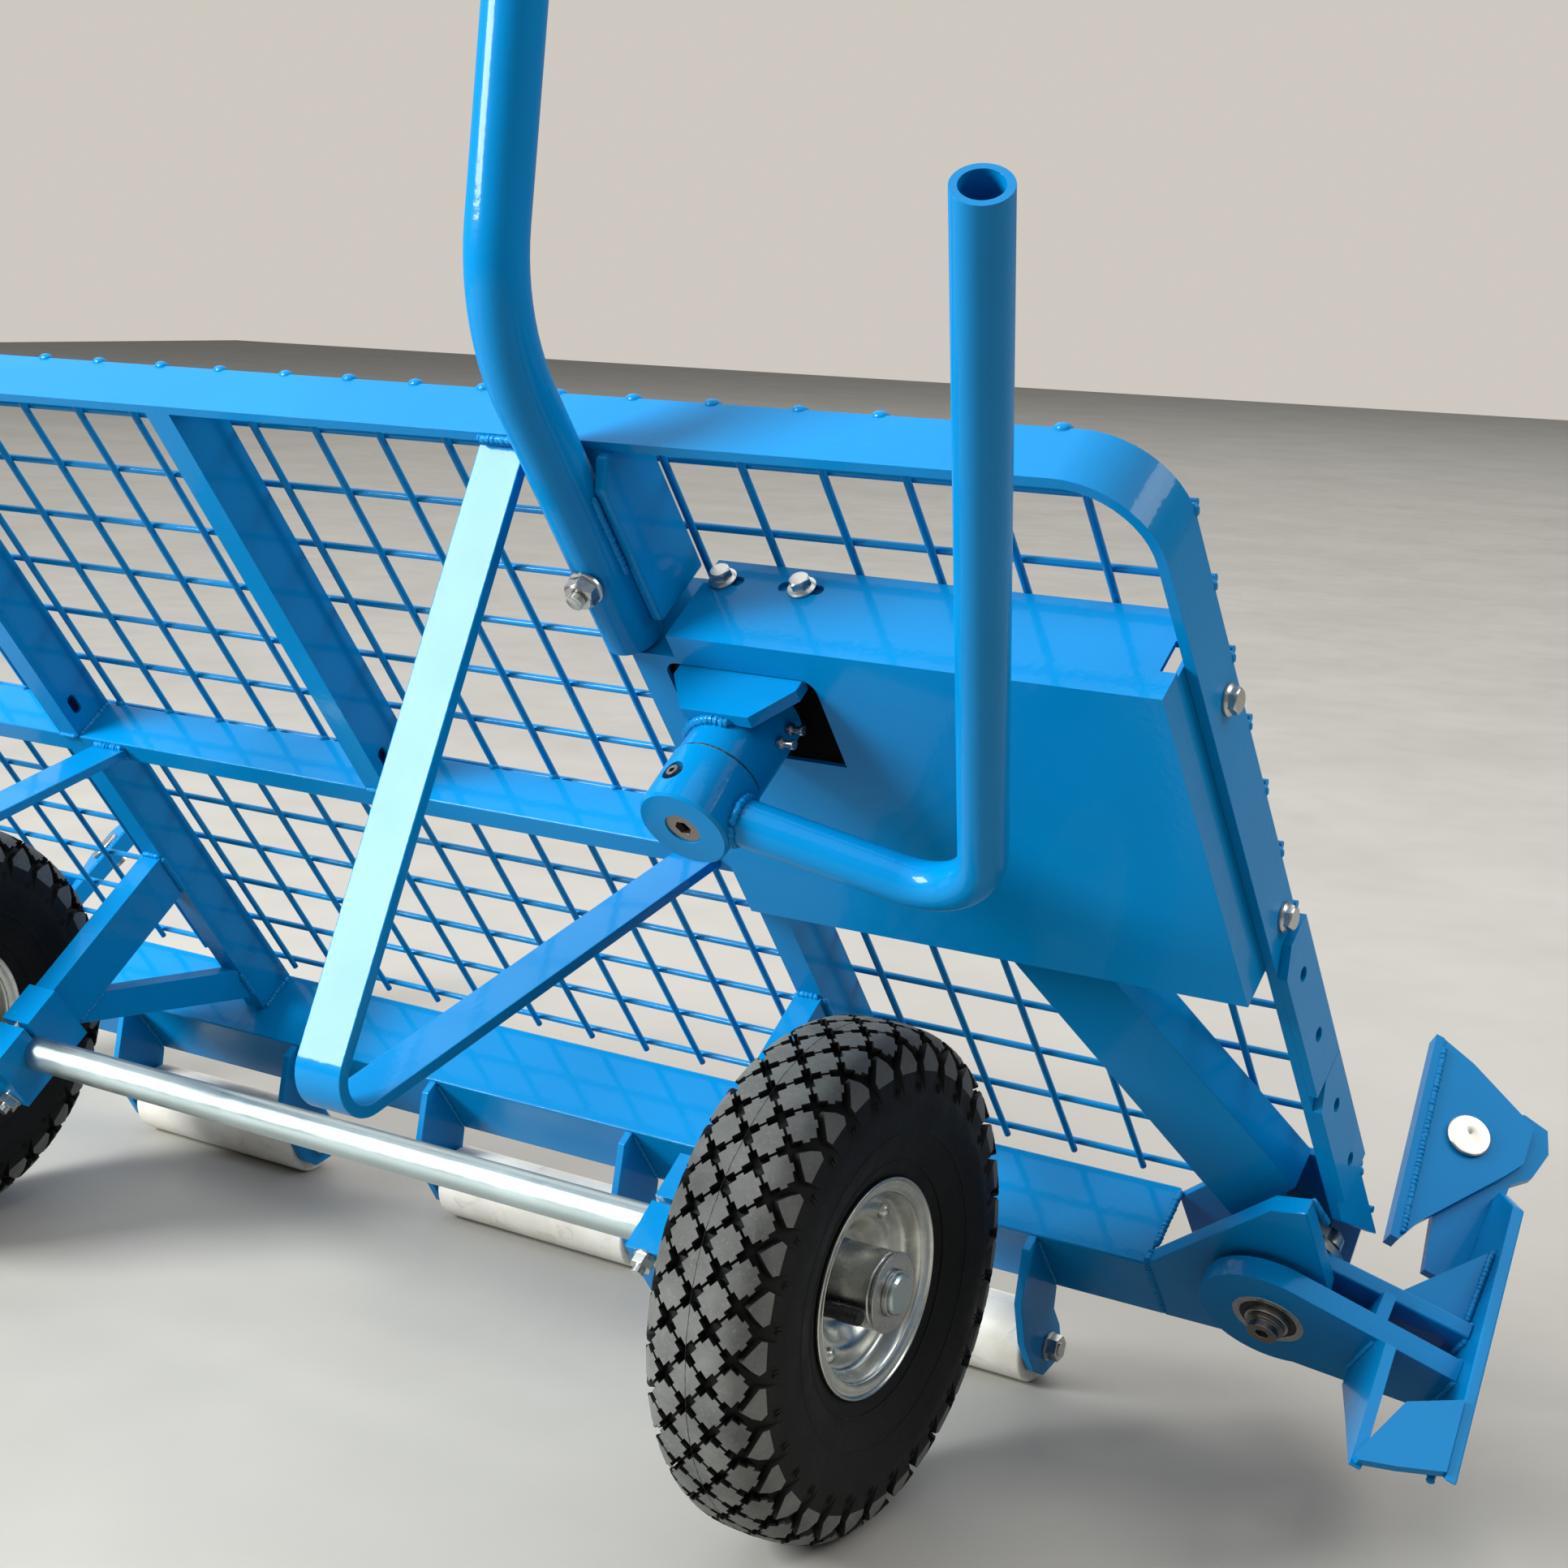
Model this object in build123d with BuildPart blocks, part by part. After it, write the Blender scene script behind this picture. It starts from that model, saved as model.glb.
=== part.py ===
"""Panel hand truck: a leaning mesh deck on two wheels and three floor rollers, with a lever-driven claw."""
import os
from math import cos, radians, sin

from build123d import *

os.makedirs("parts", exist_ok=True)

# ---- driving dimensions, mm ----
lean = 36.8699  # deck tilt from upright
deck_y = -191.93  # deck top edge, fore and aft
deck_z = 652.91  # deck top edge above the floor
half_width = 647.5  # outer face of the side members
bar_t = 6.0  # perimeter flat bar thickness
bar_d = 37.0  # perimeter flat bar depth
corner_r = 50.0
tube_w = 20.0  # upright, strut and rail tube
tube_wall = 2.5
upright_x = 303.0
rail_top, rail_low = -332.0, -350.0
chan_top, chan_low, chan_front = -651.0, -711.0, 26.0
chan_end = 513.0
wire_d = 4.5
wire_pitch_x, wire_pitch_u = 51.2, 49.0
pivot_x, pivot_u = 606.0, -644.0  # claw pivots
arm_angle = -30.0
lever_x, lever_u = 386.0, -167.0  # lever axis
crank_r = 22.0
case_off = 18.0  # drive case centre line from the line of the pivots
axle_u, axle_n = -484.0, 182.0
axle_r = 12.5
wheel_x, wheel_r = 410.0, 156.5
hub_tube_r = 24.0
axle_end = 457.0
roller_u, roller_n, roller_r, roller_len = -739.0, 57.0, 27.5, 180.0
roller_x = (-335.0, 0.0, 335.0)
pole_x, pole_n, pole_r = 313.0, 17.2, 16.85
run = 0.05  # radial running clearance

S, C = sin(radians(lean)), cos(radians(lean))
X = (1, 0, 0)
U = (0, -S, C)  # up the deck
N = (0, -C, -S)  # out of the deck, towards the operator
N_DIR = Vector(*N)
SIDES = (("right", 1), ("left", -1))


def at(x, u, n):
    """World point from deck coordinates."""
    return Vector(x, deck_y - S * u - C * n, deck_z + C * u - S * n)


def deck(n, x=0, u=0):
    """Plane parallel to the deck: local (x, u)."""
    return Plane(origin=at(x, u, n), x_dir=X, z_dir=N)


def side(x, u=0, n=0):
    """Plane square to the axle: local (u, n)."""
    return Plane(origin=at(x, u, n), x_dir=U, z_dir=X)


def cross(u, x=0, n=0):
    """Plane square to the deck's height: local (x, -n)."""
    return Plane(origin=at(x, u, n), x_dir=X, z_dir=U)


def claw_frame(sx):
    """Claw directions: out along the arm, and across it, in deck (x, u)."""
    a, b = cos(radians(arm_angle)), sin(radians(arm_angle))
    return (sx * a, b), (-sx * b, a)


def claw_at(sx, a, w, n):
    (ax, au), (wx, wu) = claw_frame(sx)
    return at(sx * pivot_x + a * ax + w * wx, pivot_u + a * au + w * wu, n)


def claw_flat(sx, points):
    """Arm outline (a, w) as deck (x, u)."""
    (ax, au), (wx, wu) = claw_frame(sx)
    return [(sx * pivot_x + a * ax + w * wx, pivot_u + a * au + w * wu) for a, w in points]


def claw_dir(sx, a, w):
    (ax, au), (wx, wu) = claw_frame(sx)
    return at(a * ax + w * wx, a * au + w * wu, 0) - at(0, 0, 0)


def claw_face(sx, a):
    """Plane across the arm at distance a: local (n, w); it faces back along the arm on the right."""
    return Plane(origin=claw_at(sx, a, 0, 0), x_dir=N, z_dir=claw_dir(sx, 1, 0) * -sx)


def claw_shelf(sx, w):
    """Plane along the arm at height w: local (n, a); it faces up the claw on the right."""
    return Plane(origin=claw_at(sx, 0, w, 0), x_dir=N, z_dir=claw_dir(sx, 0, 1) * sx)


def foot_shelf(sx):
    """Plane of the foot's shelf, sloping with the claw plate's upper edge: local (~n, a)."""
    slope = (N_DIR + claw_dir(sx, 0, 1) * 0.295).normalized()
    return Plane(origin=claw_at(sx, 0, 54.0, 0), x_dir=slope, z_dir=slope.cross(claw_dir(sx, 1, 0)))


def rounded_path(points, radii):
    """Straight runs joined by tangent arcs."""
    edges, start = [], points[0]
    for i, r in enumerate(radii, 1):
        p = points[i]
        d0, d1 = (points[i - 1] - p).normalized(), (points[i + 1] - p).normalized()
        half = radians(d0.get_angle(d1)) / 2
        t = r * cos(half) / sin(half)
        mid_dir = (d0 + d1).normalized()
        p0, p1 = p + d0 * t, p + d1 * t
        centre = p + mid_dir * (r / sin(half))
        edges += [Edge.make_line(start, p0), Edge.make_three_point_arc(p0, centre - mid_dir * r, p1)]
        start = p1
    return Wire(edges + [Edge.make_line(start, points[-1])])


def save(node, name):
    node.part.label = name
    export_step(node.part, f"parts/{name}.step")


# ---- welded frame ----
with BuildPart() as perimeter_bar:
    with BuildSketch(deck(0)):
        with BuildLine():
            FilletPolyline(
                (-half_width, -650), (-half_width, 0), (half_width, 0), (half_width, -650), radius=corner_r
            )
            Line((half_width, -650), (half_width - bar_t, -650))
            FilletPolyline(
                (half_width - bar_t, -650), (half_width - bar_t, -bar_t),
                (-half_width + bar_t, -bar_t), (-half_width + bar_t, -650), radius=corner_r - bar_t,
            )
            Line((-half_width + bar_t, -650), (-half_width, -650))
        make_face()
    extrude(amount=-bar_d)
    # slanted feet of the side members
    with BuildSketch(side(-half_width - 1)):
        Polygon((-585, 0.5), (-652, -bar_d), (-660, 0.5), align=None)
    extrude(amount=2 * half_width + 2, mode=Mode.SUBTRACT)
    # holes for the cover's side bolts
    with BuildSketch(side(half_width - bar_t - 1)):
        with Locations((-160, -23), (-328, -23)):
            Circle(4.3)
    extrude(amount=bar_t + 2, mode=Mode.SUBTRACT)
save(perimeter_bar, "perimeter_bar")

# centre line of the drive case runs parallel to the line of the two pivots
run_x, run_u = pivot_x - lever_x, pivot_u - lever_u
run_len = (run_x**2 + run_u**2) ** 0.5
dx, du = run_x / run_len, run_u / run_len
case_half, case_wall, case_depth = 30.0, 3.0, 29.8


def along(d, off):
    """Deck (x, u) at distance d from the lever axis towards the claw, off to its upper side."""
    return (lever_x + dx * d - du * off, lever_u + du * d + dx * off)


with BuildPart() as mid_rail:
    with BuildSketch(side(-half_width + bar_t)):
        with Locations(((rail_top + rail_low) / 2, -bar_d / 2)):
            Rectangle(rail_top - rail_low, bar_d)
            Rectangle(rail_top - rail_low - 5, bar_d - 5, mode=Mode.SUBTRACT)
    extrude(amount=2 * (half_width - bar_t))
    with BuildSketch(deck(1)):
        Polygon(along(100, case_off - case_half), along(100, case_off + case_half),
                along(330, case_off + case_half), along(330, case_off - case_half), align=None)
    extrude(amount=-bar_d - 2, mode=Mode.SUBTRACT)
save(mid_rail, "mid_rail")

with BuildPart() as uprights:
    for x, spans in (
        (upright_x, ((-bar_t, rail_top), (rail_low, chan_top))),
        (-upright_x, ((-bar_t, rail_top), (rail_low, chan_top))),
        (0, ((-bar_t, rail_top),)),
    ):
        for top, low in spans:
            with BuildSketch(cross(low, x)):
                with Locations((0, bar_d / 2)):
                    Rectangle(tube_w, bar_d)
                    Rectangle(tube_w - 2 * tube_wall, bar_d - 2 * tube_wall, mode=Mode.SUBTRACT)
            extrude(amount=top - low)
        # drain slot just above the rail
        with BuildSketch(side(x - tube_w, rail_top + 22, -12)):
            SlotOverall(16, 8)
        extrude(amount=2 * tube_w, mode=Mode.SUBTRACT)
save(uprights, "uprights")

with BuildPart() as lower_channel:
    with BuildSketch(side(-chan_end)):
        Polygon((chan_top, -bar_d), (chan_top, chan_front), (chan_low, chan_front), (chan_low, chan_front - 4),
                (chan_top - 4, chan_front - 4), (chan_top - 4, -bar_d), align=None)
    extrude(amount=2 * chan_end)
save(lower_channel, "lower_channel")

with BuildPart() as corner_cheeks:
    for sx in (1, -1):
        with BuildSketch(deck(14)):
            Polygon(*[(sx * x, u) for x, u in (
                (chan_end, chan_low), (chan_end, chan_top), (617, -551), (641, -546), (641, -630), (622, chan_low)
            )], align=None)
            with Locations((sx * pivot_x, pivot_u)):
                Circle(10.0, mode=Mode.SUBTRACT)
        extrude(amount=12)
        with BuildSketch(deck(-bar_d)):
            Polygon(*[(sx * x, u) for x, u in (
                (chan_end, -705), (chan_end, chan_top - 4.1), (601, -569), (641, -570), (641, -640), (620, -705)
            )], align=None)
            with Locations((sx * pivot_x, pivot_u)):
                Circle(10.0, mode=Mode.SUBTRACT)
        extrude(amount=6)
save(corner_cheeks, "corner_cheeks")

with BuildPart() as side_plates:
    for sx in (1, -1):
        for top, low in ((-341, -461), (-461.6, -565)):
            with BuildSketch(side(sx * half_width)):
                Polygon((low, -38), (low, 0), (top - 14, 0), (top, -14), (top, -38), align=None)
                with Locations((top - 30, -19), (top - 84, -19)):
                    Circle(4.5, mode=Mode.SUBTRACT)
            extrude(amount=sx * 5.5)
save(side_plates, "side_plates")

# ---- welded wire mesh on the load face ----
wire_n = -bar_d - wire_d / 2 - 0.03
with BuildPart() as wire_mesh:
    for k in range(24):
        with BuildSketch(cross(-640, (k - 11.5) * wire_pitch_x, wire_n)):
            Circle(wire_d / 2)
        extrude(amount=638)
    for j in range(13):
        with BuildSketch(side(-half_width + 2, -47 - j * wire_pitch_u, wire_n - wire_d - 0.03)):
            Circle(wire_d / 2)
        extrude(amount=2 * half_width - 4)
save(wire_mesh, "wire_mesh")

# ---- axle, struts, braces, clamps ----
clamp_n0, clamp_split, clamp_n1 = 141.0, 176.0, 213.0
clamp_half = 25.0
with BuildPart() as axle:
    with BuildSketch(side(-axle_end, axle_u, axle_n)):
        Circle(axle_r)
    extrude(amount=2 * axle_end)
    chamfer(axle.edges().filter_by(GeomType.CIRCLE), 1.5)
save(axle, "axle")

with BuildPart() as axle_struts:
    for sx in (1, -1):
        with BuildSketch(deck(0, sx * upright_x, -485)):
            Rectangle(tube_w, 40)
            Rectangle(tube_w - 2 * tube_wall, 40 - 2 * tube_wall, mode=Mode.SUBTRACT)
        extrude(amount=clamp_n0)
        # brace down to the upright's foot
        with BuildSketch(side(sx * upright_x - 9)):
            Polygon((-505, 105), (-505, 138), (-636, 0), (-603, 0), align=None)
        extrude(amount=18)
save(axle_struts, "axle_struts")

with BuildPart() as axle_clamps:
    for sx in (1, -1):
        for n0, n1 in ((clamp_n0, clamp_split - 2), (clamp_split + 2, clamp_n1)):
            with BuildSketch(side(sx * 298 - 14)):
                with Locations((axle_u, (n0 + n1) / 2)):
                    Rectangle(2 * clamp_half, n1 - n0)
                with Locations((axle_u, axle_n)):
                    Circle(axle_r + 0.02, mode=Mode.SUBTRACT)
            extrude(amount=28)
        with BuildSketch(deck(clamp_n0 + 8, sx * 298, axle_u)):
            with Locations((0, -19), (0, 19)):
                Circle(4.25)
        extrude(amount=80, mode=Mode.SUBTRACT)
save(axle_clamps, "axle_clamps")

with BuildPart() as clamp_bolts:
    for sx in (1, -1):
        for off in (-19, 19):
            with BuildSketch(deck(clamp_n0 + 9, sx * 298, axle_u + off)):
                Circle(4.0)
            extrude(amount=clamp_n1 - clamp_n0 - 9 + 13)
            with BuildSketch(deck(clamp_n1 + 0.05, sx * 298, axle_u + off)):
                Circle(8.0)
            extrude(amount=1.6)
            with BuildSketch(deck(clamp_n1 + 1.65, sx * 298, axle_u + off)):
                RegularPolygon(6.5, 6, major_radius=False)
            extrude(amount=6.5)
save(clamp_bolts, "clamp_bolts")

# ---- resting legs: flat bar bent to a V ----
leg_points = ((-8.0, 0.05), (-194.0, 347.0), (-345.0, 0.05))


def offset_line(p, q, t):
    length = ((q[0] - p[0]) ** 2 + (q[1] - p[1]) ** 2) ** 0.5
    nx, ny = (q[1] - p[1]) / length * t, -(q[0] - p[0]) / length * t
    return (p[0] + nx, p[1] + ny), (q[0] + nx, q[1] + ny)


def meet(a, b, c, d):
    r, s = (b[0] - a[0], b[1] - a[1]), (d[0] - c[0], d[1] - c[1])
    t = ((c[0] - a[0]) * s[1] - (c[1] - a[1]) * s[0]) / (r[0] * s[1] - r[1] * s[0])
    return (a[0] + t * r[0], a[1] + t * r[1])


leg_t = 7.0
i0, i1 = offset_line(leg_points[0], leg_points[1], -leg_t)
j0, j1 = offset_line(leg_points[1], leg_points[2], -leg_t)
inner_v = meet(i0, i1, j0, j1)
floor_line = ((-500, 0.05), (0, 0.05))
inner_a, inner_b = meet(i0, i1, *floor_line), meet(j0, j1, *floor_line)
with BuildPart() as v_legs:
    for sx in (1, -1):
        with BuildSketch(side(sx * 263 - 16)):
            with BuildLine():
                FilletPolyline(leg_points[0], leg_points[1], leg_points[2], radius=24)
                Line(leg_points[2], inner_b)
                FilletPolyline(inner_b, inner_v, inner_a, radius=24 - leg_t)
                Line(inner_a, leg_points[0])
            make_face()
        extrude(amount=32)
save(v_legs, "v_legs")

# ---- push handle: one bent tube, two bent poles and a cross grip ----
bend_u, bend_deg, grip_z = 90.0, 43.0, 1050.0
foot_u = -126.0
bolt_u = -74.0
bend_point = at(pole_x, bend_u, pole_n)
upper = (at(0, cos(radians(bend_deg)), -sin(radians(bend_deg))) - at(0, 0, 0)).normalized()
top_point = bend_point + upper * ((grip_z - bend_point.Z) / upper.Z)
poles = [at(pole_x, foot_u, pole_n), bend_point, top_point]
handle_path = rounded_path(poles + [Vector(-p.X, p.Y, p.Z) for p in reversed(poles)], (125, 110, 110, 125))
with BuildPart() as handle_bow:
    with BuildSketch(cross(foot_u, pole_x, pole_n)):
        Circle(pole_r)
        Circle(pole_r - 2.6, mode=Mode.SUBTRACT)
    sweep(path=handle_path)
    for sx in (1, -1):
        with BuildSketch(deck(pole_n - 30, sx * pole_x, bolt_u)):
            Circle(5.05)
        extrude(amount=60, mode=Mode.SUBTRACT)
save(handle_bow, "handle_bow")

with BuildPart() as handle_brackets:
    for sx in (1, -1):
        # cheek beside the pole, which stands on the upright
        with BuildSketch(side(sx * (pole_x + pole_r + 0.3))):
            Polygon((-bar_t - 0.05, -30), (-bar_t - 0.05, 6), (-20, pole_n), (-112.5, pole_n), (-112.5, -30),
                    align=None)
        extrude(amount=sx * 8)
save(handle_brackets, "handle_brackets")

with BuildPart() as handle_bolts:
    front = pole_n + pole_r
    for sx in (1, -1):
        # stud off the upright, through the pole, with washer and nut
        with BuildSketch(deck(0.1, sx * pole_x, bolt_u)):
            Circle(5.0)
        extrude(amount=front + 15)
        for start, rad, length, hexagon in ((front + 0.1, 10.5, 2.0, False), (front + 2.1, 8.5, 8.4, True)):
            with BuildSketch(deck(start, sx * pole_x, bolt_u)):
                if hexagon:
                    RegularPolygon(rad, 6, major_radius=False)
                else:
                    Circle(rad)
            extrude(amount=length)
save(handle_bolts, "handle_bolts")

# ---- cover box over the drive, folded sheet ----
box_x0, box_x1, box_top, box_low, box_front, box_back = 315.0, 641.3, -113.0, -349.0, 27.0, -36.0
sheet = 2.5
slot_x, slot_n = (355.5, 407.5), -21.0
with BuildPart() as cover_box:
    with BuildSketch(deck(box_front)):
        with BuildLine():
            Polyline((box_x0, box_low), (box_x1, box_low), (box_x1, box_top), (345, box_top), (345, -129),
                     (box_x0, -129), close=True)
        make_face()
    extrude(amount=box_back - box_front)
    with BuildSketch(deck(box_front - sheet)):
        with BuildLine():
            Polyline((box_x0 + sheet, box_low - 1), (box_x1 - sheet, box_low - 1), (box_x1 - sheet, box_top - sheet),
                     (345 - sheet, box_top - sheet), (345 - sheet, -129 - sheet), (box_x0 + sheet, -129 - sheet),
                     close=True)
        make_face()
    extrude(amount=box_back - box_front, mode=Mode.SUBTRACT)
    # lower edge stays open but for a return flange in front of the rail
    with BuildSketch(deck(box_front)):
        Polygon((box_x0, box_low), (box_x1, box_low), (box_x1, box_low + sheet), (box_x0, box_low + sheet), align=None)
    extrude(amount=-18)
    # window for the lever bearing
    with BuildSketch(deck(box_front + 1)):
        with BuildLine():
            FilletPolyline((335, -200), (335, -134), (433, -134), (433, -200), radius=9)
            Line((433, -200), (335, -200))
        make_face()
    extrude(amount=-sheet - 2, mode=Mode.SUBTRACT)
    # adjusting slots and the corner relief
    with BuildSketch(cross(box_top - 5)):
        with Locations(*[(x, -slot_n) for x in slot_x]):
            SlotOverall(29, 7.5)
    extrude(amount=10, mode=Mode.SUBTRACT)
    with BuildSketch(cross(box_top - sheet - 0.5)):
        Polygon((box_x1 - 9, -8), (box_x1 + 1, -8), (box_x1 + 1, 14), (box_x1 - 9, 14), align=None)
    extrude(amount=sheet + 1, mode=Mode.SUBTRACT)
    # side walls step over the rail
    with BuildSketch(side(box_x0 - 1)):
        Polygon((box_low - 2, box_back - 1), (box_low - 2, 0.1), (rail_top + 0.1, 0.1), (rail_top + 0.1, box_back - 1),
                align=None)
    extrude(amount=box_x1 - box_x0 + 2, mode=Mode.SUBTRACT)
    # holes for the side bolts
    with BuildSketch(side(box_x1 - sheet - 0.5)):
        with Locations((-160, -23), (-328, -23)):
            Circle(4.3)
    extrude(amount=sheet + 1, mode=Mode.SUBTRACT)
save(cover_box, "cover_box")

with BuildPart() as cover_bracket:
    with BuildSketch(side(346)):
        Polygon((box_top - sheet - 0.1, box_back), (box_top - sheet - 0.1, -8), (box_top - sheet - 4.1, -8),
                (box_top - sheet - 4.1, box_back + 4), (-160, box_back + 4), (-160, box_back), align=None)
    extrude(amount=102)
    with BuildSketch(cross(box_top - 12)):
        with Locations(*[(x + 1, -slot_n) for x in slot_x]):
            Circle(3.0)
    extrude(amount=15, mode=Mode.SUBTRACT)
save(cover_bracket, "cover_bracket")

with BuildPart() as cover_bolts:
    for x in slot_x:
        for u0, rad, length, hexagon in ((-8, 3.0, 8, False), (0.1, 8.0, 2.2, False), (2.3, 5.5, 5.5, True)):
            with BuildSketch(cross(box_top + u0, x + 1, slot_n)):
                if hexagon:
                    RegularPolygon(rad, 6, major_radius=False)
                else:
                    Circle(rad)
            extrude(amount=length + (0.1 if u0 == -8 else 0))
    for u in (-160, -328):
        for x0, rad, length, hexagon in (
            (box_x1 - sheet - 2, 4.0, half_width + sheet + 2 - box_x1 + 0.2, False),
            (half_width + 0.05, 8.5, 1.8, False), (half_width + 1.85, 6.5, 5.0, True),
        ):
            with BuildSketch(side(x0, u, -23)):
                if hexagon:
                    RegularPolygon(rad, 6, major_radius=False)
                else:
                    Circle(rad)
            extrude(amount=length)
save(cover_bolts, "cover_bolts")

# ---- drive case, rod and cranks ----
with BuildPart() as drive_case:
    with BuildSketch(deck(-1)):
        Polygon(along(205, case_off - case_half), along(205, case_off + case_half),
                along(458, case_off + case_half), along(486, case_off - case_half - 8), align=None)
    extrude(amount=-case_depth)
    with BuildSketch(deck(-1 - case_wall)):
        Polygon(along(204, case_off - case_half + 3), along(204, case_off + case_half - 3),
                along(490, case_off + case_half - 3), along(490, case_off - case_half - 5), align=None)
    extrude(amount=-case_depth + 2 * case_wall, mode=Mode.SUBTRACT)
save(drive_case, "drive_case")

rod_n0, rod_n1 = -17.0, -9.0
with BuildPart() as drive_rod:
    with BuildSketch(deck(rod_n0)):
        Polygon(along(0, crank_r - 6), along(0, crank_r + 6), along(run_len, crank_r + 6),
                along(run_len, crank_r - 6), align=None)
        with Locations(along(0, crank_r), along(run_len, crank_r)):
            Circle(9.5)
            Circle(4.0 + run, mode=Mode.SUBTRACT)
    extrude(amount=rod_n1 - rod_n0)
save(drive_rod, "drive_rod")

shaft_r = 12.5
with BuildPart() as lever_shaft:
    with BuildSketch(deck(-2.5, lever_x, lever_u)):
        Circle(shaft_r)
    extrude(amount=111.4)
save(lever_shaft, "lever_shaft")

for name, where, shaft in (("lever_crank", along(0, 0), 0), ("claw_crank", along(run_len, 0), 10.0 + run)):
    with BuildPart() as crank:
        with BuildSketch(deck(-8.5)):
            with Locations(where):
                Circle(30)
        extrude(amount=6)
        if shaft:
            with BuildSketch(deck(-9)):
                with Locations(where):
                    Circle(shaft)
            extrude(amount=12, mode=Mode.SUBTRACT)
            with BuildSketch(deck(-2.5)):
                with Locations(where):
                    Circle(20)
                    Circle(shaft, mode=Mode.SUBTRACT)
            extrude(amount=4.4)
        pin = (where[0] - du * crank_r, where[1] + dx * crank_r)
        with BuildSketch(deck(-20)):
            with Locations(pin):
                Circle(4.0)
        extrude(amount=12)
        with BuildSketch(deck(-20)):
            with Locations(pin):
                Circle(6.5)
        extrude(amount=2.7)
    save(crank, name)

# ---- lever bearing ----
house_n0, house_n1 = 6.0, 75.0
plate_screws = ((-40, 8), (50, 24), (-40, -38), (50, -38))
with BuildPart() as bearing_housing:
    with BuildSketch(deck(house_n0)):
        with Locations((392, -174)):
            Rectangle(108, 78)
    extrude(amount=8)
    with BuildSketch(deck(house_n0, lever_x, lever_u)):
        Circle(26)
    extrude(amount=house_n1 - house_n0)
    with BuildSketch(cross(lever_u + 24)):
        Polygon((lever_x - 40, -house_n0 - 8), (lever_x + 40, -house_n0 - 8), (lever_x + 40, -34),
                (lever_x + 22, -58), (lever_x - 22, -58), (lever_x - 40, -34), align=None)
    extrude(amount=8)
    with BuildSketch(deck(0, lever_x, lever_u)):
        Circle(shaft_r + run)
    extrude(amount=90, mode=Mode.SUBTRACT)
    with BuildSketch(deck(-1, lever_x, lever_u)):
        with Locations(*plate_screws):
            Circle(2.6)
    extrude(amount=30, mode=Mode.SUBTRACT)
save(bearing_housing, "bearing_housing")

with BuildPart() as bearing_stand:
    # two legs behind the housing's plate, the left one down to the rail
    for x, low in ((346, rail_top), (440, -205)):
        with BuildSketch(cross(low)):
            Polygon((x, -5.9), (x + 6, -5.9), (x + 6, -box_back - 4.1), (x, -box_back - 4.1), align=None)
        extrude(amount=-135 - low)
save(bearing_stand, "bearing_stand")

with BuildPart() as bearing_fittings:
    for ox, ou in plate_screws:
        with BuildSketch(deck(house_n0 + 0.2, lever_x + ox, lever_u + ou)):
            Circle(2.5)
        extrude(amount=8)
        with BuildSketch(deck(house_n0 + 8.05, lever_x + ox, lever_u + ou)):
            Circle(4.5)
            RegularPolygon(1.8, 6, mode=Mode.SUBTRACT)
        extrude(amount=3)
    # grease nipples
    for n in (36, 47):
        with BuildSketch(side(lever_x + 26.05, lever_u + 3, n)):
            Circle(3.4)
        extrude(amount=3)
        with BuildSketch(side(lever_x + 29.05, lever_u + 3, n)):
            Circle(1.9)
        extrude(amount=5)
        with BuildSketch(side(lever_x + 34.05, lever_u + 3, n)):
            Circle(2.9)
        extrude(amount=2)
save(bearing_fittings, "bearing_fittings")

# ---- hand lever ----
hub_n0, hub_n1, hub_r, lever_n = 77.0, 115.0, 27.0, 97.0
arm_x, arm_u = 547.5, -211.7
tip_x, tip_u = 670.6, 231.0
with BuildPart() as lever_hub:
    with BuildSketch(deck(hub_n0, lever_x, lever_u)):
        Circle(hub_r)
        Circle(shaft_r, mode=Mode.SUBTRACT)
    extrude(amount=hub_n1 - hub_n0 - 6)
    with BuildSketch(deck(hub_n1 - 6, lever_x, lever_u)):
        Circle(hub_r)
        Circle(10.6, mode=Mode.SUBTRACT)
    extrude(amount=6)
    chamfer(lever_hub.faces().filter_by(GeomType.PLANE).sort_by(Axis((0, 0, 0), N))[-1].outer_wire().edges(), 1.5)
    # set screw boring, square to the shaft
    with BuildSketch(Plane(origin=at(lever_x, lever_u, lever_n), x_dir=N, z_dir=at(-0.25, 0.968, 0) - at(0, 0, 0))):
        Circle(6.6)
    extrude(amount=40, mode=Mode.SUBTRACT)
save(lever_hub, "lever_hub")

with BuildPart() as lever_tube:
    path = rounded_path([at(lever_x, lever_u, lever_n), at(arm_x, arm_u, lever_n), at(tip_x, tip_u, lever_n)], (47,))
    with BuildSketch(Plane(origin=path @ 0, z_dir=path % 0)):
        Circle(13.0)
        Circle(9.5, mode=Mode.SUBTRACT)
    sweep(path=path)
    with BuildSketch(deck(hub_n0 - 5, lever_x, lever_u)):
        Circle(hub_r + 0.02)
    extrude(amount=60, mode=Mode.SUBTRACT)
save(lever_tube, "lever_tube")

with BuildPart() as lever_screws:
    with BuildSketch(deck(hub_n1 - 4.4, lever_x, lever_u)):
        Circle(10.4)
        RegularPolygon(5.0, 6, mode=Mode.SUBTRACT)
    extrude(amount=3.6)
    screw_plane = Plane(origin=at(lever_x, lever_u, lever_n), x_dir=N, z_dir=at(-0.25, 0.968, 0) - at(0, 0, 0))
    with BuildSketch(screw_plane.offset(shaft_r + 0.4)):
        Circle(6.4)
    extrude(amount=10)
    with BuildSketch(screw_plane.offset(shaft_r + 10.4)):
        Circle(3.6)
        RegularPolygon(1.9, 6, mode=Mode.SUBTRACT)
    extrude(amount=4.5)
save(lever_screws, "lever_screws")

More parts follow.
